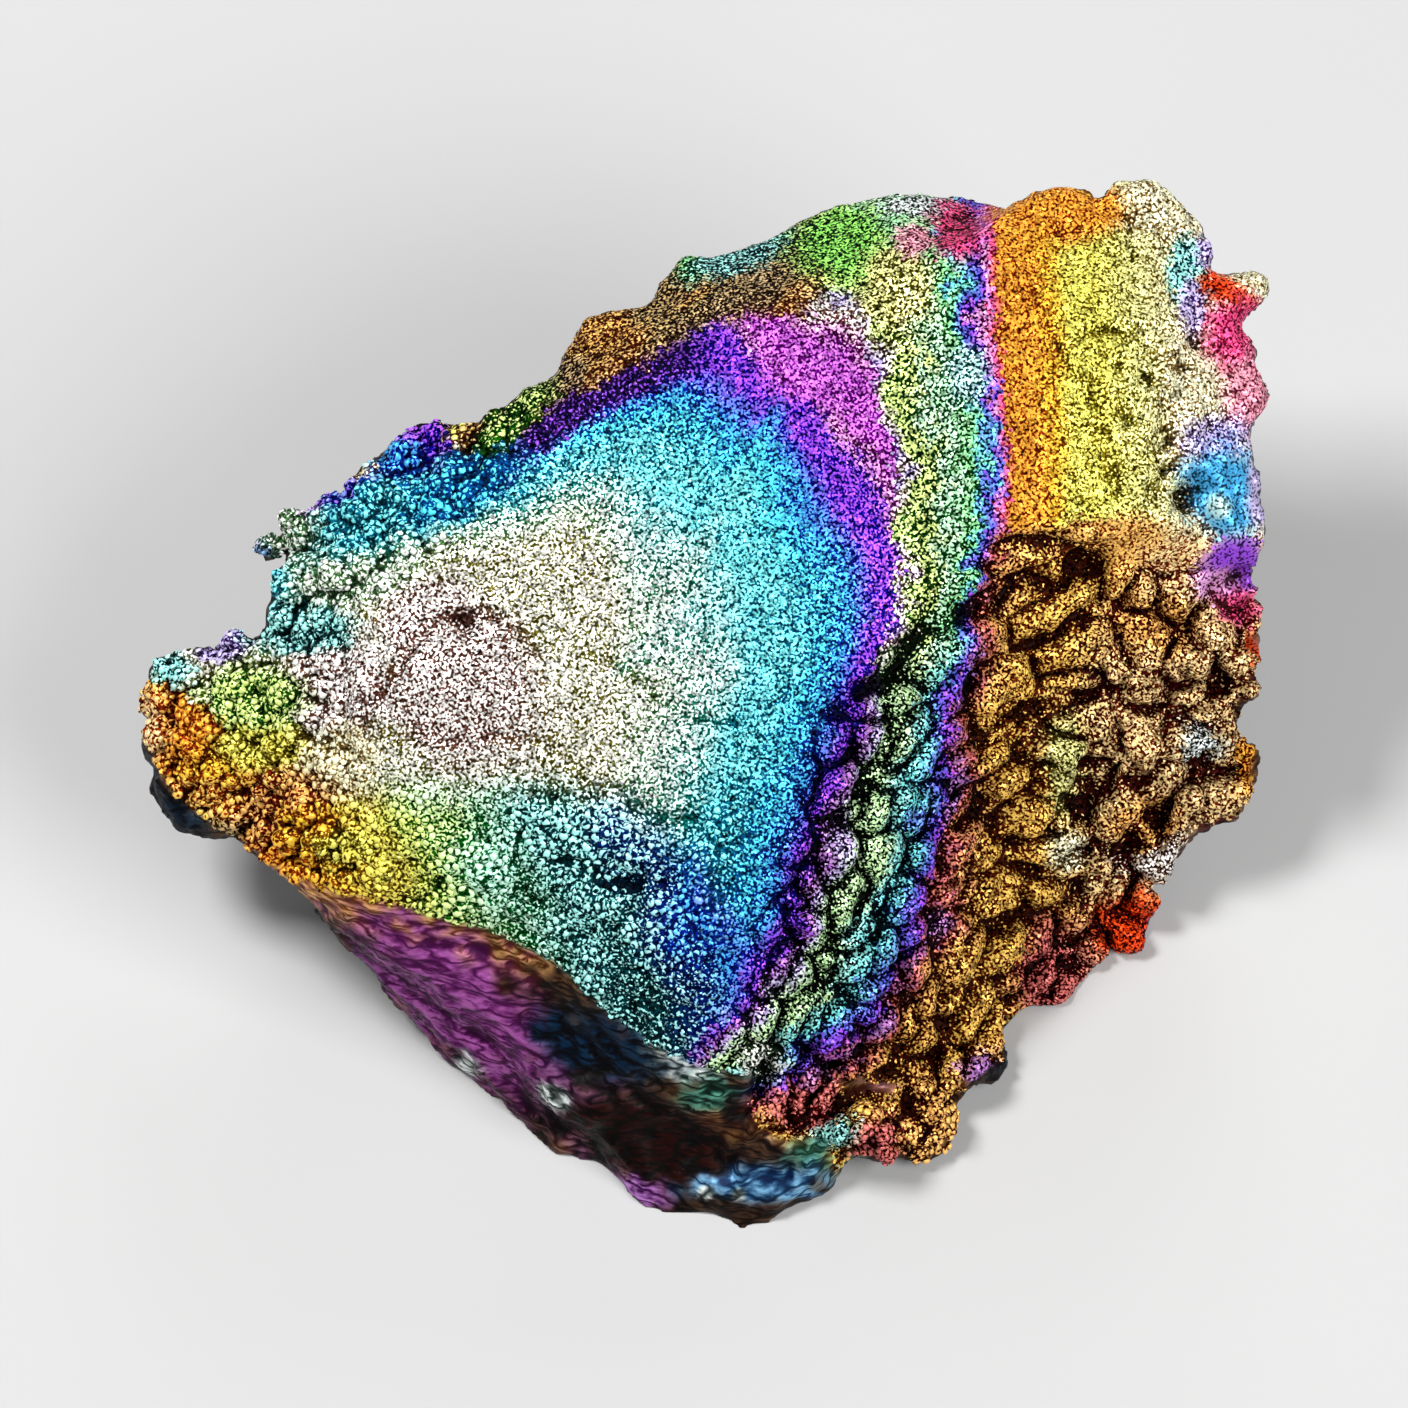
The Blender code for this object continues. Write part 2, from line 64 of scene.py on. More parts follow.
# Lines over the crust: where it turns down to its ribbed flank, the dark crease behind the
# dome, and the crust's edge, past which the stone is broken.
SHOULDER = [(2, -38), (3, -29), (7, -12), (11, 0), (17, 5), (25, 14), (38, 15), (50, 13)]
CREASE = [(17, 37), (11.5, 34.0), (-0.3, 30.7), (-8.8, 26.9), (-19.0, 19.7), (-30, 14)]
CRUST_EDGE = [(-50, 2), (-44.5, -7.5), (-38.7, -11.8), (-34.2, -14.6), (-25.7, -16.8),
              (-17.3, -18.9), (-12.2, -21.4), (-8, -25.6), (-3.7, -28.5), (-0.3, -30.2),
              (4.7, -31.2), (10.7, -31.0), (16.6, -31.8), (22.5, -31.5), (30, -27)]
RIB_FAN = (22.0, -5.0)              # the ribs turn about this point
RIB_WIDTH = 2.9                     # from one rib to the next
RIB_HEIGHT = 2.1
RIB_SWELLING = 4.2                  # from one swelling of a rib to the next
LOBE_SIZE = 4.2                     # the round lobes at the crust's right end
LOBE_HEIGHT = 2.4
LARGE_BLISTER = 2.6
SMALL_BLISTER = 1.3
KNOB_HEIGHT = 1.4                   # of the large blisters on the crust's fringe
FOLD_DEPTH = 0.3
LAYER_SPACING = 0.85                # the broken side's fine layers
LAYER_HEIGHT = 0.13
LOW_KNOBS = [(19.0, -35.5, 4.0, 4.5, 0), (14.0, -36.5, 3.5, 4.0, 0), (8.0, -33.5, 4.0, 3.0, 0)]
FOLDS = [                           # long fine folds in the dome and the plateau
    [(-28.5, -1.5), (-27.4, 0.8), (-25.7, 2.5), (-24, 5.6), (-21.3, 7.3), (-17.8, 7.6),
     (-15.8, 6.6), (-14.1, 4.9)],
    [(-28.8, -1.9), (-24.7, -2.5), (-19.5, -3.2), (-15.5, -2.5), (-11.8, -3.9), (-9.1, -6.6),
     (-5, -8.6), (-0.8, -10.1)],
    [(-10.4, 4.6), (-7, 3.6), (-3.6, 0.8), (-0.2, -1.2), (2.9, -1.9)],
    [(-13.8, -7.3), (-9.1, -8)], [(-11, -13.6), (-7, -15.1), (-3.5, -15.2)],
    [(27, 37.6), (27.9, 33.4), (30, 29.3), (32.7, 25.1), (33.8, 20.2), (34.6, 17.3)],
    [(34.6, 28.2), (35.1, 24), (37.2, 20.2)], [(31.9, 30.9), (34.6, 31.4), (39.9, 28.2)],
    [(37.5, 26.9), (38.8, 22.9), (39.7, 20.2), (37.2, 17)],
]


def rise(value, start, end):
    """A smooth step from 0 at start to 1 at end, which may run either way."""
    step = np.clip((value - start) / (end - start), 0.0, 1.0)
    return step * step * (3.0 - 2.0 * step)


def beside(line, a, b):
    """Signed distance from a line of points, positive on the right of its direction."""
    nearest = np.full(a.shape, 1.0e6)
    side = np.ones(a.shape)
    for (a0, b0), (a1, b1) in zip(line, line[1:]):
        step_a = a1 - a0
        step_b = b1 - b0
        along = ((a - a0) * step_a + (b - b0) * step_b) / (step_a**2 + step_b**2)
        along = np.clip(along, 0.0, 1.0)
        gap_a = a - a0 - along * step_a
        gap_b = b - b0 - along * step_b
        gap = np.hypot(gap_a, gap_b)
        closer = gap < nearest
        side = np.where(closer, np.sign(gap_a * step_b - gap_b * step_a), side)
        nearest = np.where(closer, gap, nearest)
    return side * nearest


def within(a, b, spot, ragged=0.0):
    """1 inside an oval spot (a, b, half length, half width, turn), 0 well outside it."""
    centre_a, centre_b, half_length, half_width, degrees = spot
    turn = math.radians(degrees)
    along = (a - centre_a) * math.cos(turn) + (b - centre_b) * math.sin(turn)
    across = (b - centre_b) * math.cos(turn) - (a - centre_a) * math.sin(turn)
    return rise(np.hypot(along / half_length, across / half_width) + ragged, 1.4, 0.6)


def in_crust_frame(vectors):
    """Upright vectors turned so that a is right, b up the crust and c out of it."""
    x, y, z = vectors.T
    b = y * math.cos(CRUST_LEAN) + z * math.sin(CRUST_LEAN)
    c = z * math.cos(CRUST_LEAN) - y * math.sin(CRUST_LEAN)
    return x, b, c


def crust_height(a, b):
    """Height of the crust's broad form above its frame."""
    height = -7.0 * ((a - DOME_CENTRE[0]) / 60.0) ** 2
    height -= 7.0 * ((b - DOME_CENTRE[1]) / 52.0) ** 2
    height -= 8.0 * rise(a, -25.0, -48.0)
    height -= 9.0 * rise(beside(CREASE, a, b), -1.0, 10.0)
    flank = beside(SHOULDER, a, b)
    height -= 14.0 * rise(flank, -2.0, 30.0)
    return height - 2.4 * rise(flank, -0.5, 2.5) * rise(a, 19.0, 27.0)


def wander(places, size, octaves=3):
    """Fractal noise at each place, about -1 to 1, with features of the given size."""
    return np.array([noise.fractal(Vector(p) / size, 1.0, 2.0, octaves) for p in places])


def blisters(places, size):
    """Round swellings grown against each other: 1 on each crown, 0 in the narrow grooves."""
    away = np.array([noise.voronoi(Vector(p) / size)[0][:2] for p in places])
    nearest, second = away.T
    crown = 1.0 - 0.5 * np.clip(nearest / 0.8, 0.0, 1.0) ** 2
    return crown * rise(second - nearest, -0.02, 0.28)


def read_points(mesh):
    """The mesh's points in millimetres."""
    flat = np.empty(len(mesh.vertices) * 3)
    mesh.vertices.foreach_get("co", flat)
    return flat.reshape(-1, 3) / MM


def read_normals(mesh):
    flat = np.empty(len(mesh.vertices) * 3, np.float32)
    mesh.vertex_normals.foreach_get("vector", flat)
    return flat.reshape(-1, 3).astype(float)


def write_points(mesh, places):
    mesh.vertices.foreach_set("co", np.ascontiguousarray(places * MM).ravel())
    mesh.update()


def only(item):
    """Select one object and make it active."""
    bpy.ops.object.select_all(action="DESELECT")
    item.select_set(True)
    bpy.context.view_layer.objects.active = item


def apply(item, kind, **settings):
    """Add a modifier with its settings and apply it."""
    only(item)
    modifier = item.modifiers.new(kind.title(), kind)
    for name, value in settings.items():
        setattr(modifier, name, value)
    bpy.ops.object.modifier_apply(modifier=modifier.name)


def spread_out(mesh, values, rounds):
    """Values at the points, averaged with their neighbours for some rounds."""
    ends = np.empty(len(mesh.edges) * 2, np.int32)
    mesh.edges.foreach_get("vertices", ends)
    first, second = ends.reshape(-1, 2).T
    count = len(mesh.vertices)
    meeting = np.bincount(ends, minlength=count)
    for _ in range(rounds):
        total = np.bincount(first, values[second], count)
        total += np.bincount(second, values[first], count)
        values = 0.5 * values + 0.5 * total / meeting
    return values


# A copy of the solid, its loose triangles merged, is skinned in even cells.
stone = bpy.data.objects.new("crusted_stone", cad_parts["turgite_specimen"].data.copy())
bpy.context.collection.objects.link(stone)
only(stone)
bpy.ops.object.mode_set(mode="EDIT")
bpy.ops.mesh.select_all(action="SELECT")
bpy.ops.mesh.remove_doubles(threshold=0.01 * MM)
bpy.ops.object.mode_set(mode="OBJECT")
apply(stone, "REMESH", mode="VOXEL", voxel_size=SKIN_CELL * MM, use_smooth_shade=True)
apply(stone, "SMOOTH", factor=0.5, iterations=5)

place = read_points(stone.data)
facing = in_crust_frame(read_normals(stone.data))[2]
a, b, c = in_crust_frame(place - CRUST_ORIGIN)
depth = crust_height(a, b) - c
ripple = wander(place - CRUST_ORIGIN * np.array([1.0, 1.0, 0.0]), 5.5)
flank = beside(SHOULDER, a, b)
past_edge = beside(CRUST_EDGE, a, b)

# The crust covers the upper face down to its edge, and the low knobs below that.
growth = rise(past_edge, 0.5, -0.3) * rise(depth, 9.0, 7.0) * rise(facing, -0.15, 0.2)
for spot in LOW_KNOBS:
    growth = np.maximum(growth, within(a, b, spot) * rise(facing, 0.0, 0.3))

# Each kind of ground, from 0 outside it to 1 inside.
ribbed = rise(flank, -3.0, 2.0) * rise(a, 35.0, 31.0) * growth
lobed = growth * rise(flank, 2.0, 6.0) * rise(a, 30.0, 34.0)
low_dome = growth * rise(b, -4.0, -12.0) * rise(flank, -1.0, -5.0)
fringe = growth * np.maximum(rise(a, -26.0, -34.0), within(a, b, (-27, 17, 14, 6, 35)))
plateau = growth * rise(a, 24.0, 34.0) * rise(flank, 0.0, -3.0)
broken = 1.0 - growth

# The ribs fan out down the flank, and swell and pinch along their length.
slant = np.radians(44.0 - 22.0 * rise(a, 16.0, 31.0))
fan_a = a - RIB_FAN[0]
fan_b = b - RIB_FAN[1]
across = fan_b * np.cos(slant) - fan_a * np.sin(slant) + 1.1 * ripple
along = fan_a * np.cos(slant) + fan_b * np.sin(slant) + 1.5 * ripple
swelling = np.abs(np.cos(math.pi * along / RIB_SWELLING)) - 0.6
rib = blisters(np.stack([0.38 * along, across, 0.7 * c], axis=1), RIB_WIDTH)
knob = blisters(np.stack([0.7 * along, across, c], axis=1), RIB_WIDTH)
rib += (knob - rib) * rise(a, 22.0, 18.0)

# Swellings, less their mean height so that they both rise and sink.
rib -= 0.65
lobe = blisters(place, LOBE_SIZE) - 0.65
large = blisters(place, LARGE_BLISTER) - 0.6
small = blisters(place, SMALL_BLISTER) - 0.6

# Narrow grooves, fine roughness, and the broken side's layers and steps.
fine = wander(place, 1.6, 2)
groove = np.clip(1.0 - np.abs(wander(place, 6.0, 2)) / 0.07, 0.0, 1.0)
crevice = 0.45 * np.clip(1.0 - np.abs(wander(place, 3.2, 3)) / 0.10, 0.0, 1.0)
for line in FOLDS:
    crevice = np.maximum(crevice, rise(np.abs(beside(line, a, b) + 0.7 * fine), 0.9, 0.2))
layers = np.sin(2.0 * math.pi * (depth + 0.7 * ripple + 0.35 * fine) / LAYER_SPACING)
steps = np.round(2.0 * ripple) / 2.0 - ripple

# How far each kind of ground rises or sinks, kept within the solid's box.
relief = ribbed * (0.1 * swelling + RIB_HEIGHT * rib + 0.35 * small)
relief += lobed * (LOBE_HEIGHT * lobe + 0.7 * large + 0.3 * small)
relief += low_dome * (0.4 * large + 0.35 * small - 0.4 * groove)
relief += fringe * (KNOB_HEIGHT * large + 0.5 * small)
relief += plateau * (0.35 * large - 0.35 * groove)
relief -= growth * (1.0 - ribbed) * (1.0 - lobed) * (FOLD_DEPTH + 0.1 * low_dome) * crevice
relief += growth * 0.06 * fine
relief += broken * (LAYER_HEIGHT * layers + 0.3 * fine + 0.25 * steps)
relief *= rise(place[:, 2], 0.1, 1.5)         # the underside stays level where it rests
place += read_normals(stone.data) * relief[:, None]
low, high = (np.array(corner) / MM for corner in solid_box)
write_points(stone.data, np.clip(place, low, high))
apply(stone, "SMOOTH", factor=0.3, iterations=1)

# ---------------------------------------------------------------------------------------
# The film. The crust's sheen is a thin film of oxide, whose colour follows its thickness.
# It runs in bands round the dome, across the flank and out over the plateau, in the order
# of an oil film's colours, with patches of its own on knobs and broken stone.

# Each tone has the colour of the grains' crowns, the film's colour paled by a painted highlight,
# and that of the seams, the film's deeper colour darkened partly by painted shade, as displayed.
TONES = {
    "straw": ((1.0, 0.99, 0.66), (0.48, 0.44, 0.04)),
    "yellow": ((1.0, 0.98, 0.46), (0.48, 0.40, 0.00)),
    "amber": ((1.0, 0.82, 0.26), (0.58, 0.26, 0.00)),
    "gold": ((1.0, 0.82, 0.40), (0.60, 0.21, 0.00)),
    "orange": ((1.0, 0.70, 0.25), (0.56, 0.19, 0.00)),
    "ember": ((1.0, 0.31, 0.11), (0.42, 0.02, 0.00)),
    "crimson": ((1.0, 0.34, 0.58), (0.52, 0.02, 0.18)),
    "magenta": ((1.0, 0.70, 0.96), (0.34, 0.00, 0.29)),
    "pink": ((1.0, 0.68, 0.76), (0.56, 0.20, 0.30)),
    "orchid": ((0.94, 0.50, 1.0), (0.42, 0.00, 0.50)),
    "violet": ((0.68, 0.33, 1.0), (0.02, 0.00, 0.58)),
    "indigo": ((0.44, 0.50, 1.0), (0.00, 0.02, 0.52)),
    "blue": ((0.32, 0.74, 1.0), (0.00, 0.14, 0.58)),
    "sky": ((0.36, 0.94, 1.0), (0.00, 0.28, 0.56)),
    "aqua": ((0.54, 1.0, 1.0), (0.00, 0.38, 0.50)),
    "cyan": ((0.82, 1.0, 1.0), (0.00, 0.44, 0.40)),
    "ice": ((0.94, 1.0, 0.99), (0.14, 0.46, 0.36)),
    "mint": ((1.0, 1.0, 0.97), (0.30, 0.48, 0.28)),
    "bone": ((1.0, 1.0, 0.96), (0.44, 0.42, 0.15)),
    "rose": ((1.0, 0.99, 0.97), (0.40, 0.24, 0.20)),
    "teal": ((0.70, 1.0, 0.97), (0.00, 0.23, 0.26)),
    "green": ((0.64, 1.0, 0.64), (0.00, 0.36, 0.07)),
    "meadow": ((0.66, 1.0, 0.46), (0.05, 0.28, 0.00)),
    "jade": ((0.84, 1.0, 0.88), (0.00, 0.42, 0.15)),
    "lagoon": ((0.70, 0.97, 1.0), (0.00, 0.12, 0.42)),
    "lime": ((0.92, 1.0, 0.60), (0.08, 0.34, 0.00)),
    "cream": ((1.0, 1.0, 0.86), (0.58, 0.46, 0.24)),
    "lilac": ((0.86, 0.80, 1.0), (0.26, 0.18, 0.42)),
    "moss": ((0.84, 1.0, 0.74), (0.03, 0.18, 0.06)),
    "copper": ((1.0, 0.88, 0.62), (0.56, 0.19, 0.05)),
    "bronze": ((1.0, 0.79, 0.43), (0.52, 0.19, 0.02)),
    "olive": ((0.86, 0.72, 0.48), (0.18, 0.10, 0.00)),
    "rust": ((1.0, 0.76, 0.42), (0.42, 0.11, 0.00)),
    "maroon": ((0.88, 0.47, 0.45), (0.42, 0.04, 0.05)),
    "silver": ((0.96, 0.99, 0.98), (0.12, 0.15, 0.14)),
    "plum": ((0.74, 0.50, 0.80), (0.16, 0.02, 0.18)),
    "purple": ((0.64, 0.34, 0.62), (0.24, 0.05, 0.23)),
    "dusk": ((0.46, 0.66, 0.80), (0.02, 0.12, 0.24)),
    "gloaming": ((0.50, 0.26, 0.78), (0.08, 0.00, 0.24)),
    "soot": ((0.15, 0.06, 0.05), (0.03, 0.01, 0.01)),
    "navy": ((0.07, 0.17, 0.26), (0.00, 0.02, 0.05)),
    "bottle": ((0.36, 0.62, 0.54), (0.03, 0.14, 0.10)),
    "umber": ((0.28, 0.20, 0.15), (0.05, 0.03, 0.02)),
    "tan": ((1.0, 0.76, 0.44), (0.36, 0.18, 0.05)),
}
WORM_SIZE = 0.24                    # from the middle of a worm-like crown to that of a seam
CRACK_SPACING = 1.3                 # between the longer seams that wander among the crowns
WORM_EDGE = (0.88, 1.2)             # a crown turns from seam to a bright painted glint between these heights
DEPTH_EDGE = (-0.45, 0.1)           # and a seam from its darkest painted shade to its own colour
TOOTH_SIZE = 0.4                    # of the fine roughness that breaks up the shine
STREAK_SIZE = 0.6                   # of the broken stone's streaks, before they are drawn out
STREAK_CRACKS = 1.4                 # between the cracks among them
FILM_METALLIC = 0.35
DISPLAY_GAMMA = 2.2
GROOVE_SHADE_CROWN = 1.4                 # how far painted shade dims the crowns down in the grooves
GROOVE_SHADE_SEAM = 0.42                 # how much painted shade darkens the seams there
# Lines that the bands follow: the dome's violet rim, the plateau's magenta rim, and the
# line between the dome and its low side.
VIOLET_LINE = [(-2, -32), (-0.3, -28.5), (4, -23.5), (7.3, -18.4), (8.6, -13.3), (10.3, -8.2),
               (11.7, -3.6), (13.4, 0.3), (15.2, 4.1), (16.2, 8.7), (16, 14.6), (15.4, 21.4),
               (14.2, 27.3), (12.3, 32.6), (9, 34.1), (4.7, 33.1), (-0.3, 31.1), (-8.8, 26.9),
               (-17.3, 21.2), (-24, 21), (-28.2, 19), (-35, 16.3), (-38.4, 13.8)]
MAGENTA_LINE = [(3, -33.6), (8.1, -31.7), (12.8, -28.1), (16.2, -23.9), (18.9, -19.2),
                (20.1, -14.1), (20.6, -8.2), (21.2, 0.3), (22.7, 6.6), (24.2, 12.5),
                (24.6, 17.2), (24.2, 23.9), (23.8, 34.1), (23.6, 43.4), (23.6, 46.8)]
LOW_LINE = [(-34.2, -4.5), (-29.1, -7.4), (-21.5, -7.4), (-13.9, -6.9), (-7.1, -8.2),
            (-1.2, -13.3), (2.6, -20), (3, -25), (-0.3, -30.2)]
# Bands as (distance in mm or share of the way across, tone).
DOME_BANDS = [(-8, "rose"), (-6.5, "magenta"), (-5, "orchid"), (-3, "orchid"),
              (-2, "magenta"), (-1, "violet"), (0.6, "violet"), (1.5, "indigo"),
              (2.5, "blue"), (4.5, "sky"), (7, "aqua"), (9, "aqua"), (11, "cyan"),
              (13, "ice"), (16, "mint"), (20, "bone")]
MIDDLE_BANDS = [(0, "lilac"), (0.08, "rose"), (0.18, "lime"), (0.34, "lime"), (0.48, "jade"),
                (0.72, "green"), (0.8, "aqua"), (0.88, "indigo"), (0.95, "violet"),
                (1, "magenta")]
VALLEY_BANDS = [(0, "violet"), (0.1, "plum"), (0.2, "lilac"), (0.3, "moss"), (0.48, "moss"),
                (0.58, "teal"), (0.7, "aqua"), (0.82, "indigo"), (0.92, "violet"), (1, "maroon")]
PLATEAU_BANDS = [(0, "magenta"), (0.5, "crimson"), (1.0, "orange"), (3.5, "orange"), (5, "amber"),
                 (6.5, "yellow"), (9, "yellow"), (12, "straw"), (16, "cream")]
FLANK_BANDS = [(0, "plum"), (1.0, "maroon"), (2.2, "rust"), (4, "gold"), (9, "gold"),
               (11, "bronze"), (14, "copper")]
LOW_BANDS = [(-36, "orange"), (-31, "amber"), (-26, "yellow"), (-22, "lime"), (-18, "jade"),
             (-12, "teal"), (-8, "teal"), (-4, "lagoon"), (-1, "blue"), (2, "violet")]
# By compass angle, how far in from its edge the dome's bands start, and how wide they are
# as a share of their full width.
BAND_START = [(-180, 1), (-60, 0), (0, 0.2), (15, 0.8), (30, 2.2), (45, 5.2), (60, 7.5),
              (68, 4), (75, 1), (105, 1), (135, 0)]
BAND_WIDTH = [(-180, 0.5), (-130, 0.6), (-75, 1.0), (0, 1.0), (30, 1.15), (45, 1.0), (60, 0.75),
              (75, 1.05), (90, 0.62), (105, 0.42), (120, 0.38), (150, 0.5)]
# Patches with a tone of their own: a, b, half length, half width, turn and tone.
CRUST_PATCHES = [
    (-20.0, 1.5, 7.0, 6.5, 0, "rose"), (-23.5, 7.5, 4.0, 2.5, 20, "rose"),
    (-30.5, 1.0, 5.0, 5.0, 0, "rose"), (-31.0, -5.0, 5.0, 3.0, 20, "cream"),
    (-36.5, -8.5, 5.5, 3.0, 10, "rust"), (-33.0, -10.5, 3.0, 2.0, 0, "amber"),
    (-30.0, -11.8, 3.0, 1.5, 0, "yellow"), (-41.5, -5.5, 4.0, 2.5, 20, "amber"),
    (-37.5, -3.5, 4.0, 2.2, 0, "yellow"), (-38.0, 0.5, 4.5, 2.5, 0, "lime"),
    (-45.5, 3.0, 2.0, 1.5, 0, "teal"), (-41.0, 5.0, 2.5, 1.5, 0, "lilac"),
    (-47.0, -2.5, 2.0, 3.5, 0, "copper"), (-43.5, -8.0, 4.0, 2.0, 0, "gold"),
    (-42.0, -10.5, 3.5, 1.0, 0, "olive"), (-34.0, 6.5, 4.5, 2.0, 0, "teal"),
    (-30.5, 10.5, 5.0, 2.0, 0, "mint"), (-33.5, 14.0, 4.0, 2.5, 0, "mint"),
    (-27.0, 16.5, 7.0, 2.5, 30, "aqua"), (-20.0, 18.0, 5.0, 2.5, 30, "sky"),
    (-23.0, 22.0, 2.0, 2.0, 0, "violet"), (-26.0, 20.5, 2.5, 1.5, 0, "blue"),
    (-21.0, 23.0, 1.0, 1.0, 0, "yellow"), (-16.0, 24.0, 4.0, 1.5, 40, "lime"),
    (8.5, 28.0, 4.5, 2.8, -35, "orchid"), (5.0, -29.5, 2.0, 2.0, 0, "mint"),
    (-8.5, 31.5, 4.0, 2.5, 0, "bronze"), (-1.0, 37.0, 1.5, 1.5, 0, "green"),
    (-4.5, 34.0, 2.5, 2.0, 30, "olive"), (3.0, 38.0, 5.0, 1.5, 25, "teal"),
    (11.5, 38.5, 4.0, 3.5, 0, "meadow"), (16.0, 34.5, 3.0, 4.0, 0, "straw"),
    (18.0, 42.0, 3.0, 1.0, 0, "silver"), (21.2, 39.6, 2.2, 2.5, 0, "crimson"),
    (17.5, 39.0, 1.5, 1.5, 0, "pink"), (22.1, 27.5, 1.5, 2.5, 0, "cyan"),
    (37.5, 42.0, 4.5, 2.5, 0, "cream"), (31.0, 41.5, 4.0, 2.5, 0, "orange"),
    (40.5, 36.5, 1.5, 2.5, 0, "teal"), (42.5, 38.0, 1.0, 1.5, 0, "lilac"),
    (44.0, 34.5, 2.5, 1.2, -30, "ember"), (45.0, 31.0, 3.6, 3.2, 0, "crimson"),
    (41.0, 33.0, 1.0, 2.5, 0, "lilac"), (46.0, 26.0, 2.2, 3.5, 0, "pink"),
    (40.5, 25.5, 2.0, 5.0, 0, "cream"), (43.0, 22.0, 3.0, 2.0, 0, "lilac"),
    (32.0, 14.0, 6.5, 1.5, 5, "bronze"), (39.5, -3.0, 9.0, 11.5, 0, "copper"),
    (37.5, 6.5, 3.5, 2.5, 0, "rust"), (42.0, -3.5, 2.0, 1.5, 0, "silver"),
    (38.5, -12.5, 3.5, 2.5, 0, "rose"), (46.5, -5.0, 1.5, 3.0, 0, "orange"),
    (30.5, -6.0, 1.6, 5.0, 0, "straw"), (30.5, -12.5, 2.0, 2.0, 0, "cream"),
    (36.5, -19.5, 3.5, 3.5, 0, "ember"), (30.0, -23.0, 3.5, 4.0, 0, "maroon"),
    (37.5, -10.5, 3.0, 2.5, 0, "rust"), (11.0, -36.0, 2.5, 1.5, 0, "teal"),
    (23.5, -31.0, 2.0, 1.5, 0, "plum"), (19.0, -35.5, 2.5, 4.0, 0, "rust"),
    (14.5, -37.0, 2.0, 2.5, 0, "maroon"), (8.0, -34.0, 3.0, 2.0, 0, "maroon"),
]
SMOOTH_PATCHES = [
    (43.5, 18.0, 3.0, 4.0, 0, "blue"), (43.0, 16.5, 1.0, 1.0, 0, "cyan"),
    (47.0, 18.5, 1.2, 3.5, 0, "lilac"), (44.5, 11.5, 3.0, 2.2, 0, "violet"),
    (43.0, 10.0, 2.0, 1.5, 0, "magenta"), (45.0, 8.0, 1.8, 1.5, 0, "crimson"),
    (47.0, 5.0, 1.2, 1.5, 0, "ember"),
]
BROKEN_PATCHES = [
    (-25.5, -18.0, 12.5, 2.2, -20, "tan"), (-2.0, -30.0, 3.5, 1.5, -20, "silver"),
    (-21.5, -25.0, 11.0, 5.5, -38, "purple"), (-9.0, -29.0, 5.5, 2.8, -25, "navy"),
    (1.0, -33.0, 3.5, 1.6, 0, "bottle"), (-5.5, -36.5, 7.5, 4.0, -25, "soot"),
    (-6.5, -41.0, 3.0, 1.5, -15, "plum"), (10.0, -36.5, 3.5, 3.0, 0, "bottle"),
    (5.0, -40.3, 5.5, 1.4, 5, "dusk"), (4.0, -34.5, 3.5, 1.8, 0, "soot"),
    (7.5, -41.2, 4.0, 0.35, -5, "dusk"), (1.0, -43.0, 2.5, 1.5, 0, "umber"),
    (0.2, -41.2, 0.7, 0.5, 0, "silver"), (2.9, -41.2, 0.6, 0.5, 0, "silver"),
    (-20.0, -30.5, 1.5, 1.0, -30, "silver"), (-12.5, -33.0, 1.5, 1.0, -30, "silver"),
]


def tone(name):
    """A tone as six numbers: its crowns' colour and its seams' colour."""
    return np.concatenate(TONES[name])


def banded(stops, value):
    """Tones read from a row of stops at each value."""
    steps = [step for step, _ in stops]
    tones = np.array([tone(name) for _, name in stops])
    return np.stack([np.interp(value, steps, tones[:, k]) for k in range(6)], axis=1)


def blend(first, second, share):
    """The first tones, moved towards the second by each point's share."""
    return first + (second - first) * share[:, None]


def patched(tones, patches, a, b, ragged):
    """Tones with each patch's own tone laid over them, ragged at its rim."""
    for *spot, name in patches:
        tones = blend(tones, tone(name), within(a, b, spot, ragged))
    return tones


def crease_share(a, b, ripple):
    """1 along the crease over the dome, dark violet partly as painted shade, 0 away from it."""
    past = beside(CREASE, a, b) + 0.8 * ripple + 1.0
    return rise(np.abs(past), 2.2, 0.6) * rise(a, 3.0, -3.0) * rise(a, -24.0, -18.0)


def slope_share(a, b, ripple):
    """1 on the slope beyond the crease, dark brown and dimmed by painted shade, 0 away from it.
    """
    past = beside(CREASE, a, b) + 0.8 * ripple
    return rise(past, -0.3, 0.8) * rise(a, 12.0, 7.0) * rise(a, -24.0, -18.0)


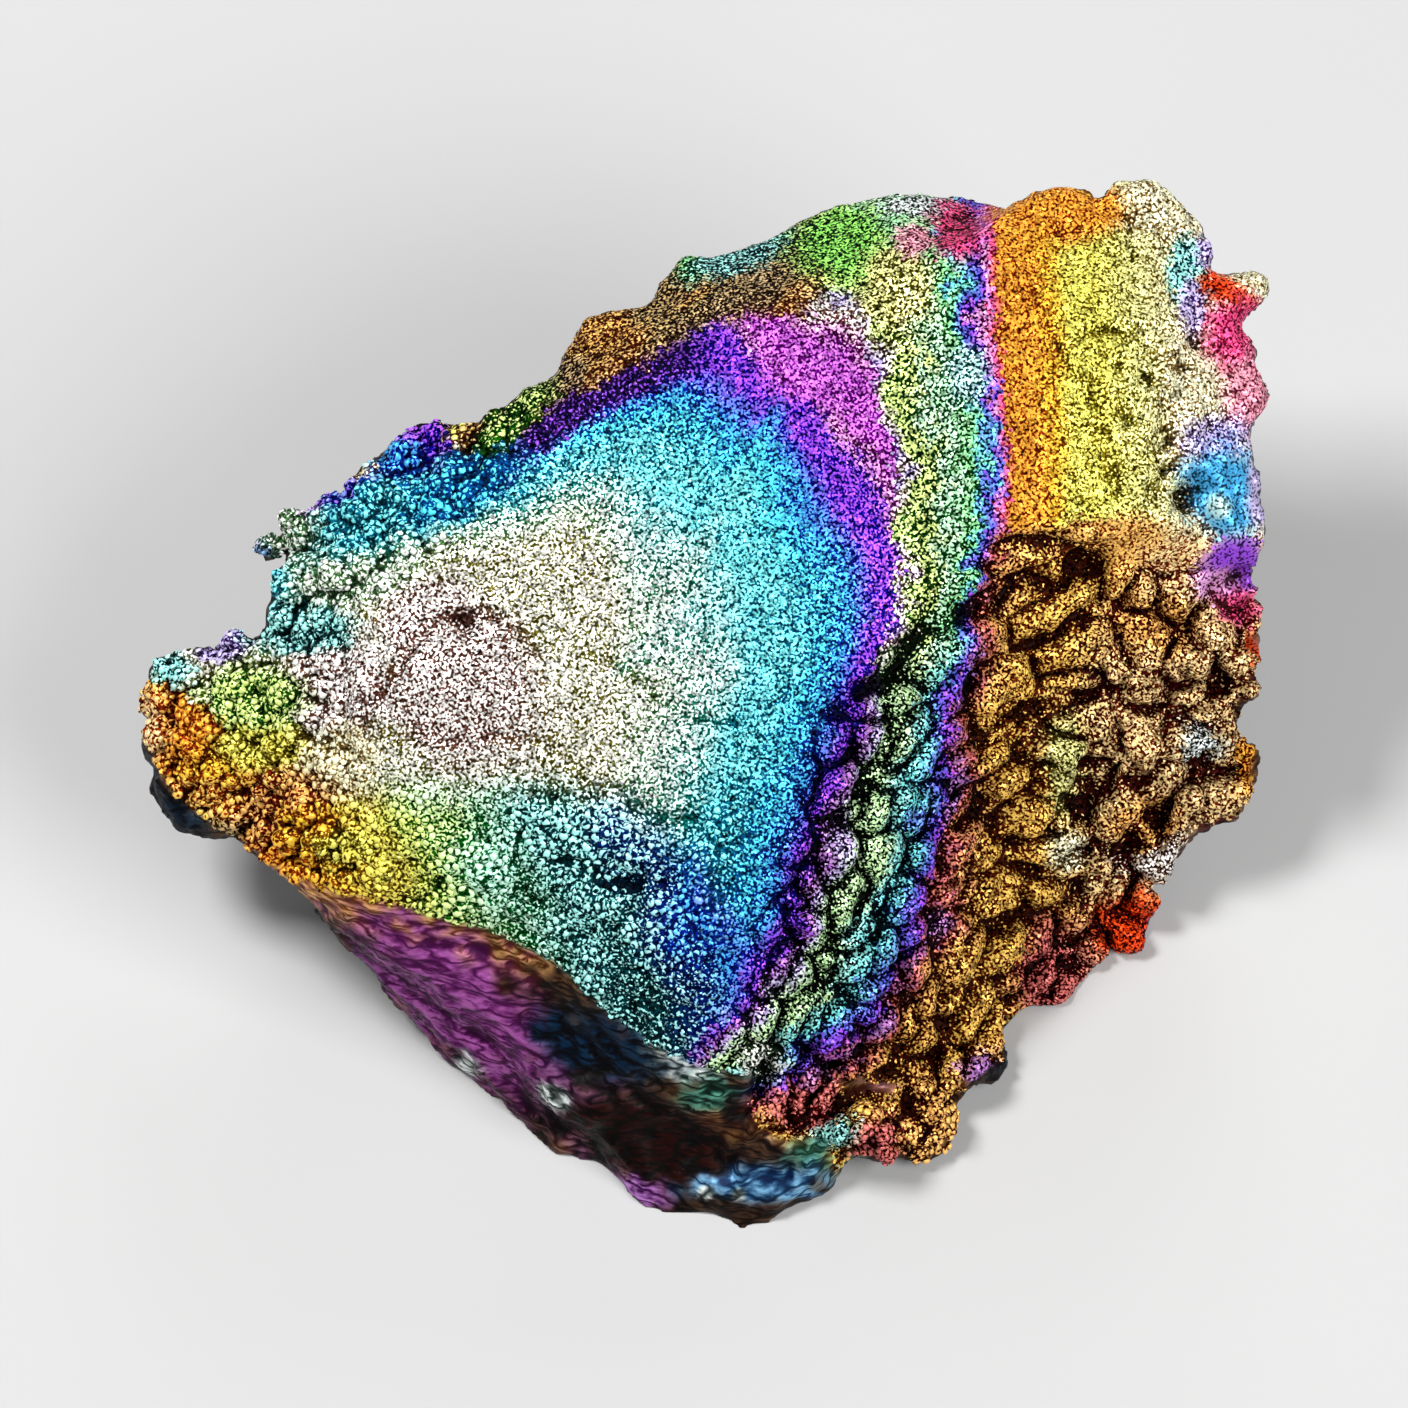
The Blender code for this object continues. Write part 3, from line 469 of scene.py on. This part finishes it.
def crust_film(a, b, ripple, fine):
    """Tones of the film over the crust."""
    past_violet = beside(VIOLET_LINE, a, b) + 0.8 * ripple + 0.4 * fine
    past_magenta = beside(MAGENTA_LINE, a, b) + 0.6 * ripple + 0.4 * fine

    # Rings round the dome, counted inwards from the violet line.
    bearing = np.degrees(np.arctan2(b - DOME_CENTRE[1], a - DOME_CENTRE[0]))
    start = np.interp(bearing, *zip(*BAND_START), period=360.0)
    width = np.interp(bearing, *zip(*BAND_WIDTH), period=360.0)
    film = banded(DOME_BANDS, (-past_violet - start) / width)

    # Bands from the violet line across to the magenta one, with others in the low valley.
    across = past_violet / np.maximum(past_violet - past_magenta, 0.1)
    middle = banded(MIDDLE_BANDS, across + 0.15 * ripple + 0.1 * fine)
    valley = banded(VALLEY_BANDS, across + 0.1 * ripple)
    middle = blend(middle, valley, rise(b, 8.0, 0.0))
    film = blend(film, middle, rise(past_violet, -0.2, 0.2))

    # The plateau beyond the magenta line, and the ribbed flank below its shoulder.
    plateau = banded(PLATEAU_BANDS, past_magenta)
    flank = banded(FLANK_BANDS, past_magenta + 1.5 * ripple)
    beyond = blend(plateau, flank, rise(beside(SHOULDER, a, b), -1.0, 1.5))
    film = blend(film, beyond, rise(past_magenta, -0.2, 0.2))

    # The dome's low side, whose bands run along it from left to right.
    low_share = rise(beside(LOW_LINE, a, b), -2.5, 2.5) * rise(past_violet, 0.5, -0.5)
    film = blend(film, banded(LOW_BANDS, a + 0.3 * (b + 15.0) + 2.5 * ripple), low_share)

    # The crease over the dome and the slope beyond it, darkened partly as painted shade, then the
    # patches.
    film = blend(film, tone("gloaming"), crease_share(a, b, ripple))
    slope = slope_share(a, b, ripple)
    film = blend(film, tone("olive"), slope * 0.9)
    film = blend(film, tone("rust"), slope * rise(ripple, 0.0, 0.5) * 0.6)
    return patched(film, CRUST_PATCHES + SMOOTH_PATCHES, a, b, 0.3 * ripple + 0.15 * fine)


# Bare stone is umber, clouded with other tones, and has patches of its own at the front.
broad = wander(place, 14.0, 2)
bare = blend(np.tile(tone("umber"), (len(a), 1)), tone("plum"), 0.6 * rise(broad, 0.05, 0.6))
bare = blend(bare, tone("navy"), 0.8 * rise(broad, -0.15, -0.6))
bare = blend(bare, tone("bronze"), 0.3 * rise(ripple, 0.0, 0.8))
front = rise(in_crust_frame(read_normals(stone.data))[2], -0.1, 0.2)
bare = blend(bare, patched(bare, BROKEN_PATCHES, a, b, 0.35 * ripple + 0.4 * fine), front)

# The film lies over that where the crust has grown. A few patches have no grains.
film = crust_film(a, b, ripple, fine)
smooth = np.zeros(len(a))
for *spot, _ in SMOOTH_PATCHES:
    smooth = np.maximum(smooth, within(a, b, spot, 0.3 * ripple + 0.15 * fine) * growth)
grained = growth * (1.0 - smooth)
film[:, :3] *= (1.0 - 0.18 * smooth)[:, None]
film[:, 3:] = blend(film[:, 3:], 0.58 * film[:, :3], smooth)
film = blend(bare, film, growth)

# Painted shade: the seams are darker on the ribs and lobes and between the dome and the plateau.
past = beside(VIOLET_LINE, a, b)
between = rise(past, 0.5, 2.0) * rise(beside(MAGENTA_LINE, a, b), 0.0, -1.0)
under = (1.0 - 0.35 * ribbed - 0.3 * lobed) * (1.0 - 0.34 * between)
film[:, 3:] *= under[:, None]

# How far each point stands out from the ground about it decides where grooves get painted shade.
place = read_points(stone.data)
soft = np.stack([spread_out(stone.data, place[:, k], 30) for k in range(3)], axis=1)
standing = ((place - soft) * read_normals(stone.data)).sum(axis=1)
flush = lobed * rise(standing, 0.15, -0.15)
film[:, 3:] = blend(film[:, 3:], np.tile(tone("maroon")[3:], (len(a), 1)), 0.7 * flush)
# Painted shade, deepest down in the grooves.
groove_shade = rise(standing, -0.10, -0.42)


def put(mesh, name, values):
    """Store one number or one colour for each point of a mesh."""
    if values.ndim == 1:
        layer = mesh.attributes.new(name, "FLOAT", "POINT")
        layer.data.foreach_set("value", values.astype(np.float32))
    else:
        layer = mesh.attributes.new(name, "FLOAT_COLOR", "POINT")
        colours = np.hstack([values, np.ones((len(values), 1))]).astype(np.float32)
        layer.data.foreach_set("color", colours.ravel())


# Painted shade: how far each part of the crust dims its crowns' painted glints, 0 where they are
# closest, more as seams widen; most where it turns from the light, low on the ribs, in the
# crease, crevices and valley.
slope = np.maximum(slope_share(a, b, ripple), crease_share(a, b, ripple))
near_edge = rise(past, -14.0, -2.0) * rise(past, 2.0, 0.0) * growth
painted_shade = 0.4 * near_edge + 0.25 * lobed + 0.2 * fringe + 0.8 * slope
painted_shade += ribbed * (0.22 + 0.45 * rise(standing, 0.32, -0.12))
painted_shade += low_dome * (0.22 + 0.52 * rise(a, -24.0, -6.0)) + 0.6 * crevice * (1.0 - ribbed)
painted_shade += 0.3 * between * (1.0 - slope) * rise(b, 0.0, 8.0) + 0.02 * plateau
painted_shade += 0.2 * within(a, b, (-21.0, 2.0, 8.0, 7.0, 0))
# Painted light of the crowns, less painted shade; on bare stone, painted highlights along its
# layers.
lit = grained * (0.65 - 0.85 * painted_shade) + 0.9 * smooth
lit += (1.0 - growth) * (0.6 + 0.3 * layers + 0.1 * fine)
put(stone.data, "film", film[:, :3])
put(stone.data, "seam", film[:, 3:] * (1.0 - GROOVE_SHADE_SEAM * groove_shade * growth)[:, None])
put(stone.data, "crown", lit - GROOVE_SHADE_CROWN * groove_shade)


class Wire:
    """A node's output, used in sums that add Math nodes."""

    def __init__(self, finish, socket):
        self.finish = finish
        self.socket = socket

    def sum(self, operation, other, turned=False):
        """A Math node of this and another value, the other one first if turned."""
        pair = (other, self) if turned else (self, other)
        return self.finish.node("ShaderNodeMath", {"operation": operation}, dict(enumerate(pair)))

    def step(self, start, end):
        """A smooth step from 0 at start to 1 at end."""
        settings = {"interpolation_type": "SMOOTHSTEP"}
        return self.finish.node("ShaderNodeMapRange", settings, {0: self, 1: start, 2: end})

    def __add__(self, other):
        return self.sum("ADD", other)

    def __radd__(self, other):
        return self.sum("ADD", other, turned=True)

    def __sub__(self, other):
        return self.sum("SUBTRACT", other)

    def __rsub__(self, other):
        return self.sum("SUBTRACT", other, turned=True)

    def __mul__(self, other):
        return self.sum("MULTIPLY", other)

    def __rmul__(self, other):
        return self.sum("MULTIPLY", other, turned=True)


class Finish:
    """A material, with its nodes made by one method."""

    def __init__(self, name, **constants):
        self.material = bpy.data.materials.new(name)
        self.material.use_nodes = True
        self.shader = self.material.node_tree.nodes["Principled BSDF"]
        for socket, value in constants.items():
            self.shader.inputs[socket.replace("_", " ")].default_value = value

    def node(self, kind, settings, sockets, output=0):
        """A node of a kind, its settings made first and then its sockets filled."""
        made = self.material.node_tree.nodes.new(kind)
        for name, value in settings.items():
            setattr(made, name, value)
        for name, value in sockets.items():
            self.plug(made.inputs[name], value)
        return Wire(self, made.outputs[output])

    def plug(self, socket, value):
        """Link a wire to a socket, or set its value."""
        if isinstance(value, Wire):
            self.material.node_tree.links.new(value.socket, socket)
        else:
            socket.default_value = value

    def feed(self, **sockets):
        """Fill sockets of the shader."""
        for name, value in sockets.items():
            self.plug(self.shader.inputs[name.replace("_", " ")], value)

    def mix(self, share, first, second, blend_type="MIX"):
        """Two colours mixed by a share of the second."""
        settings = {"data_type": "RGBA", "blend_type": blend_type}
        return self.node("ShaderNodeMix", settings, {0: share, 6: first, 7: second}, output=2)

    def shown(self, colour):
        """The light that a colour stands for, given the colour as displayed."""
        return self.node("ShaderNodeGamma", {}, {"Color": colour, "Gamma": DISPLAY_GAMMA})

    def stored(self, name, output="Color"):
        """A colour or number that the mesh holds at its points."""
        return self.node("ShaderNodeAttribute", {"attribute_name": name}, {}, output)

    def speckle(self, size, detail=2.0, places=None):
        """Noise of about 0 to 1 with features of the given size in mm."""
        places = places or self.node("ShaderNodeTexCoord", {}, {}, output="Object")
        sockets = {"Vector": places, "Scale": 1.0 / (size * MM), "Detail": detail}
        return self.node("ShaderNodeTexNoise", {}, sockets)

    def cracks(self, spacing, top, places=None):
        """0 along a net of wandering cracks, rising steeply beside them as far as top."""
        level = self.speckle(spacing, 0.5, places) - 0.5
        away = self.node("ShaderNodeMath", {"operation": "ABSOLUTE"}, {0: level})
        return (12.0 * away).sum("MINIMUM", top)


def film_finish(name, tooth, worm=WORM_SIZE):
    """Oxide film: noise gives worm-like crowns lit by painted glints, and thin dark seams between
    them.
    """
    finish = Finish(
        name, Metallic=FILM_METALLIC, Specular_IOR_Level=0.05, Coat_Roughness=0.15
    )
    high = 6.0 * (finish.speckle(worm, 0.0) - 0.5) + finish.cracks(CRACK_SPACING, 0.5)
    crown = finish.stored("crown", "Fac")
    share = (crown + high).step(*WORM_EDGE)
    seam = finish.stored("seam")
    # Painted shade: a seam darkens to half its colour where the crown's painted light is low.
    deep = finish.mix(1.0, seam, (0.5, 0.5, 0.5, 1.0), "MULTIPLY")
    seam = finish.mix((0.5 * crown + high).step(*DEPTH_EDGE), deep, seam)
    bump = {"Strength": tooth, "Distance": 0.1 * MM, "Height": finish.speckle(TOOTH_SIZE, 0.0)}
    finish.feed(
        Base_Color=finish.shown(finish.mix(share, seam, finish.stored("film"))),
        Roughness=0.55 - 0.15 * share,
        Coat_Weight=0.1 * share,
        Normal=finish.node("ShaderNodeBump", {}, bump),
    )
    return finish.material


def broken_finish(name):
    """Broken stone: the film thin over layers that run alongside the crust."""
    finish = Finish(
        name, Metallic=FILM_METALLIC, Specular_IOR_Level=0.15, Coat_Roughness=0.15
    )
    places = finish.node("ShaderNodeTexCoord", {}, {}, output="Object")
    turn = {"Vector": places, "Rotation": (-CRUST_LEAN, 0.0, 0.0), "Scale": (0.5, 0.5, 2.0)}
    layered = finish.node("ShaderNodeMapping", {}, turn)
    streak = finish.speckle(STREAK_SIZE, 6.0, layered)
    share = (finish.stored("crown", "Fac") + 3.0 * (streak - 0.5)).step(-0.4, 1.2)
    share = share * finish.cracks(STREAK_CRACKS, 1.0, layered)
    bump = {"Strength": 0.5, "Distance": 0.2 * MM, "Height": streak}
    finish.feed(
        Base_Color=finish.shown(finish.mix(share, finish.stored("seam"), finish.stored("film"))),
        Roughness=0.50 - 0.10 * share,
        Normal=finish.node("ShaderNodeBump", {}, bump),
    )
    return finish.material


stone.data.materials.clear()
stone.data.materials.append(film_finish("oxide_film", 0.5))
stone.data.materials.append(broken_finish("broken_stone"))
on_broken = np.array([growth[list(face.vertices)].mean() < 0.5 for face in stone.data.polygons])
stone.data.polygons.foreach_set("material_index", on_broken.astype(np.int32))
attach(stone, "root")
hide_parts("turgite_specimen")

# ---------------------------------------------------------------------------------------
# The grains. The crust is a tight growth of tiny crystals of iron oxide: low, flat-sided
# cells about half a millimetre wide, and round beads up to a millimetre wide on its low
# side, its fringe and the low knobs. Most cells have grown into one. Like ones are a piece.
GRAIN_SEED = 11
TRIES = 420000                      # random places tried, most of them too near another
FINE_GAP = 0.31                     # about the least distance between fine grains
KNOB_GAP = 0.45                     # and between the beads on the low knobs
BEAD_GAP = 0.44                     # grains further apart than this are round beads
BEAD_WORM_SIZE = 0.40               # the worm-like crowns are coarser on the beads
NEIGHBOURS = 9                      # how many of its neighbours shape a grain
LEAN = 0.2                          # how far the grains lean at random
REACH = 0.85                        # the most that a grain reaches, as a share of its gap
GAP_SPREAD = (0.85, 1.3)            # shares by which grains differ in their gaps
TALL_SPREAD = (0.7, 1.2)            # in height
ROUND_SPREAD = (0.88, 1.04)         # from corner to corner
SHADE_SPREAD = (0.5, 1.2)            # and in how much of the crust's painted shade they take
JOINED = (-0.5, -0.2)               # where noise passes these, grains have grown into one
JOINED_HEIGHT = 0.18                # a joined grain's foot is lifted this far, to its top
JOINED_LIGHT = 0.85                 # and the least that it is lit
FILM_SCATTER = 0.3                  # how far the film's bands are scattered among grains
GRAIN_LIGHT = 0.3                   # a grain's painted light where no painted shade dims it

# Grains stand wider apart on the dome's low side, the fringe, the lobes and the low knobs.
rng = np.random.default_rng(GRAIN_SEED)
gap = np.full(len(a), FINE_GAP)
gap += low_dome * (0.12 + 0.22 * rise(ripple, -0.2, 0.5)) + 0.24 * fringe + 0.08 * lobed
gap += 0.04 * ribbed
for spot in LOW_KNOBS:
    gap = np.maximum(gap, KNOB_GAP * within(a, b, spot))

# Places tried for grains are spread at random over the grained skin.
mesh = stone.data
mesh.calc_loop_triangles()
corners = np.empty(len(mesh.loop_triangles) * 3, np.int32)
mesh.loop_triangles.foreach_get("vertices", corners)
corners = corners.reshape(-1, 3)
edge_one = place[corners[:, 1]] - place[corners[:, 0]]
edge_two = place[corners[:, 2]] - place[corners[:, 0]]
area = 0.5 * np.linalg.norm(np.cross(edge_one, edge_two), axis=1)
chance = area * (grained[corners].mean(axis=1) > 0.5)
chosen = corners[rng.choice(len(corners), TRIES, p=chance / chance.sum())]
share = rng.dirichlet((1.0, 1.0, 1.0), TRIES)


def at_tries(values):
    """Values at the mesh's points, read at each place tried for a grain."""
    if values.ndim == 1:
        return (values[chosen] * share).sum(axis=1)
    return (values[chosen] * share[:, :, None]).sum(axis=1)


def tree_of(spots):
    """A tree that finds the spots near a place."""
    tree = kdtree.KDTree(len(spots))
    for index, spot in enumerate(spots):
        tree.insert(spot, index)
    tree.balance()
    return tree


def standing_clear(spots, gaps):
    """The tries kept, none nearer to an earlier one than that one's gap."""
    tree = tree_of(spots)
    free = bytearray(b"\1" * len(spots))
    kept = []
    for index, spot in enumerate(spots):
        if free[index]:
            kept.append(index)
            for _, other, _ in tree.find_range(spot, gaps[index]):
                free[other] = 0
    return np.array(kept)


def neighbours(spots, count):
    """The nearest other grains to each grain, as numbers in the list."""
    tree = tree_of(spots)
    return np.array([[hit[1] for hit in tree.find_n(spot, count + 1)][1:] for spot in spots])


# What each grain takes from the place where it grows.
spots = at_tries(place)
gaps = at_tries(gap) * rng.uniform(*GAP_SPREAD, TRIES)
kept = standing_clear(spots, gaps)
grains = {
    "spot": spots[kept],
    "near": spots[kept][neighbours(spots[kept], NEIGHBOURS)],
    "gap": gaps[kept],
    "normal": at_tries(read_normals(mesh))[kept],
    "a": at_tries(a)[kept],
    "b": at_tries(b)[kept],
    "ripple": at_tries(ripple)[kept],
    "fine": at_tries(fine)[kept],
    "bead": at_tries(gap)[kept] > BEAD_GAP,
    "flank": at_tries(flank)[kept],
    "slope": at_tries(slope)[kept],
    "under": at_tries(under)[kept],
    "light": GRAIN_LIGHT - rng.uniform(*SHADE_SPREAD, len(kept)) * at_tries(painted_shade)[kept],
    "groove_shade": at_tries(groove_shade)[kept],
}
grains["dome"] = beside(VIOLET_LINE, grains["a"], grains["b"]) < 0.0
grains["plateau"] = beside(MAGENTA_LINE, grains["a"], grains["b"]) > 0.0
grains["plateau"] &= (grains["flank"] < 0.5) | (grains["a"] > 31.0)
grains["plateau"] |= grains["slope"] > 0.5
near_a = grains["a"] + rng.normal(0.0, FILM_SCATTER, len(kept))
near_b = grains["b"] + rng.normal(0.0, FILM_SCATTER, len(kept))
grains["film"] = crust_film(near_a, near_b, grains["ripple"], grains["fine"])


def cell_radius(picked, side, other, turns):
    """How far each grain reaches in each direction before it meets a neighbour."""
    away = picked["near"] - picked["spot"][:, None]
    along = (away * side[:, None]).sum(axis=2)
    across = (away * other[:, None]).sum(axis=2)
    square = 0.5 * (along**2 + across**2)
    reach = np.repeat(REACH * picked["gap"][:, None], len(turns), axis=1)
    for column, turn in enumerate(turns):
        towards = along * math.cos(turn) + across * math.sin(turn)
        meets = np.where(towards > 0.001, square / np.maximum(towards, 0.001), np.inf)
        reach[:, column] = np.minimum(reach[:, column], meets.min(axis=1))
    return reach


def grain_points(picked, sides, rings, top):
    """Points of each grain, its rings and then its top, and the painted light at each point."""
    count = len(picked["spot"])
    normal = picked["normal"] / np.linalg.norm(picked["normal"], axis=1)[:, None]
    side = np.cross(normal, rng.normal(size=(count, 3)))
    side /= np.linalg.norm(side, axis=1)[:, None]
    other = np.cross(normal, side)
    turns = np.arange(sides) * 2.0 * math.pi / sides
    reach = cell_radius(picked, side, other, turns)
    lean = normal + rng.normal(0.0, LEAN, (count, 3))
    tall = reach.mean(axis=1) * rng.uniform(*TALL_SPREAD, count)
    spokes = np.cos(turns)[None, :, None] * side[:, None]
    spokes = spokes + np.sin(turns)[None, :, None] * other[:, None]
    rim = picked["spot"][:, None] + spokes * reach[:, :, None]
    joined = rise(wander(rim.reshape(-1, 3), 0.8 * FINE_GAP, 1), *JOINED).reshape(reach.shape)
    layers = []
    lights = []
    for share, height, light in rings:
        jitter = rng.uniform(*ROUND_SPREAD, reach.shape)
        raised = np.full(reach.shape, height)
        if height < 0.0:
            raised += joined * (JOINED_HEIGHT - height)
        up = lean[:, None] * (tall[:, None] * raised)[:, :, None]
        layers.append(spokes * (reach * share * jitter)[:, :, None] + up)
        lights.append(light + joined * max(0.0, JOINED_LIGHT - light))
    layers.append((lean * (tall * top)[:, None])[:, None])
    lights.append(np.ones((count, 1)))
    points = picked["spot"][:, None] + np.concatenate(layers, axis=1)
    return points, np.concatenate(lights, axis=1)


def grain_faces(sides, ring_count, count):
    """Faces of one grain, its walls, its top and its base, copied for all the grains."""
    size = sides * ring_count + 1
    last = (ring_count - 1) * sides
    walls = []
    for start in range(0, last, sides):
        for k in range(sides):
            left = start + k
            right = start + (k + 1) % sides
            walls.append((left, right, right + sides, left + sides))
    crown = [(last + k, last + (k + 1) % sides, size - 1) for k in range(sides)]
    base = [tuple(range(sides - 1, -1, -1))]
    faces = []
    for pattern in (walls, crown, base):
        pattern = np.array(pattern)
        copies = pattern[None] + size * np.arange(count)[:, None, None]
        faces.extend(copies.reshape(-1, pattern.shape[1]).tolist())
    return faces


def grow(name, film, which, sides, rings, top):
    """Join the grains that which picks into one piece."""
    picked = {key: values[which] for key, values in grains.items()}
    points, lights = grain_points(picked, sides, rings, top)
    count, size = lights.shape
    mesh = bpy.data.meshes.new(name)
    faces = grain_faces(sides, len(rings), count)
    mesh.from_pydata(np.clip(points.reshape(-1, 3), low, high) * MM, [], faces)
    mesh.shade_smooth()
    put(mesh, "film", np.repeat(picked["film"][:, :3], size, axis=0))
    # Painted shade in the grooves darkens each grain's seams and dims its crowns.
    under = picked["under"] * (1.0 - GROOVE_SHADE_SEAM * picked["groove_shade"])
    put(mesh, "seam", np.repeat(picked["film"][:, 3:] * under[:, None], size, axis=0))
    light = picked["light"] - GROOVE_SHADE_CROWN * picked["groove_shade"]
    put(mesh, "crown", (light[:, None] + lights).ravel())
    piece = bpy.data.objects.new(name, mesh)
    bpy.context.collection.objects.link(piece)
    mesh.materials.append(film)
    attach(piece, "root")


grain_film = film_finish("grain_film", 0.25)
bead_film = film_finish("bead_film", 0.25, BEAD_WORM_SIZE)
# Rings of (share out, height, painted light) from the foot up, and the height of the top.
# The painted light shades each grain's foot and lights its crown as a painted highlight.
flat_cell = ([(0.99, -0.2, -0.6), (0.88, 0.15, 1.0)], 0.18)
round_bead = ([(0.85, -0.4, -1.0), (0.97, 0.15, -0.4), (0.72, 0.50, 1.2)], 0.62)
on_dome = grains["dome"] & ~grains["bead"]
on_plateau = grains["plateau"] & ~grains["dome"] & ~grains["bead"]
on_flank = ~(grains["plateau"] | grains["dome"] | grains["bead"])
grow("dome_grains", grain_film, on_dome, 5, *flat_cell)
grow("plateau_grains", grain_film, on_plateau, 5, *flat_cell)
grow("flank_grains", grain_film, on_flank, 5, *flat_cell)
grow("edge_beads", bead_film, grains["bead"], 7, *round_bead)

# ---------------------------------------------------------------------------------------
# The studio. The stone rests on a pale paper floor under three soft lights, and the camera
# looks square on the crust. Lengths here are in metres.
FLOOR_REACH = 2.0
FLOOR_CLOUDS = 40.0                 # size of the paper's faint clouds, in millimetres
FLOOR_TINTS = [(0.47, 0.47, 0.47, 1.0), (0.49, 0.49, 0.49, 1.0)]
CAMERA_DISTANCE = 0.9
FRAME_WIDTH = 0.1168                # what the frame takes in at the crust
SENSOR_WIDTH = 36.0                 # of the camera, in millimetres
WORLD_LIGHT = 0.10                  # a faint light from all round
LIGHT_AIM = Vector((0.0, 0.0, 0.02))
LAMPS = [                           # name, place, width and watts
    ("key_light", (-0.26, 0.04, 0.52), 0.16, 3.5),
    ("fill_light", (0.45, -0.30, 0.45), 0.40, 5.0),
    ("rim_light", (0.10, 0.50, 0.30), 0.25, 1.0),
]

bpy.ops.mesh.primitive_plane_add(size=FLOOR_REACH)
floor = bpy.context.active_object
floor.name = "studio_floor"
floor_finish = Finish("floor_paper", Roughness=0.85)
clouds = floor_finish.speckle(FLOOR_CLOUDS)
floor_finish.feed(Base_Color=floor_finish.mix(clouds, *FLOOR_TINTS))
floor.data.materials.append(floor_finish.material)

for name, spot, width, power in LAMPS:
    lamp = bpy.data.lights.new(name, "AREA")
    lamp.size = width
    lamp.energy = power
    holder = bpy.data.objects.new(name, lamp)
    holder.location = spot
    aim = LIGHT_AIM - holder.location
    holder.rotation_euler = aim.to_track_quat("-Z", "Y").to_euler()
    bpy.context.collection.objects.link(holder)

world = bpy.data.worlds.new("studio")
world.use_nodes = True
backdrop = world.node_tree.nodes["Background"]
backdrop.inputs["Color"].default_value = (1.0, 1.0, 1.0, 1.0)
backdrop.inputs["Strength"].default_value = WORLD_LIGHT
bpy.context.scene.world = world
bpy.context.scene.view_settings.view_transform = "Standard"

camera = bpy.data.objects.new("camera", bpy.data.cameras.new("camera"))
camera.data.sensor_width = SENSOR_WIDTH
camera.data.lens = SENSOR_WIDTH * CAMERA_DISTANCE / FRAME_WIDTH
camera.rotation_euler = (CRUST_LEAN, 0.0, 0.0)
back = Vector((0.0, -math.sin(CRUST_LEAN), math.cos(CRUST_LEAN)))
camera.location = Vector(CRUST_ORIGIN) * MM + back * CAMERA_DISTANCE
bpy.context.collection.objects.link(camera)
bpy.context.scene.camera = camera
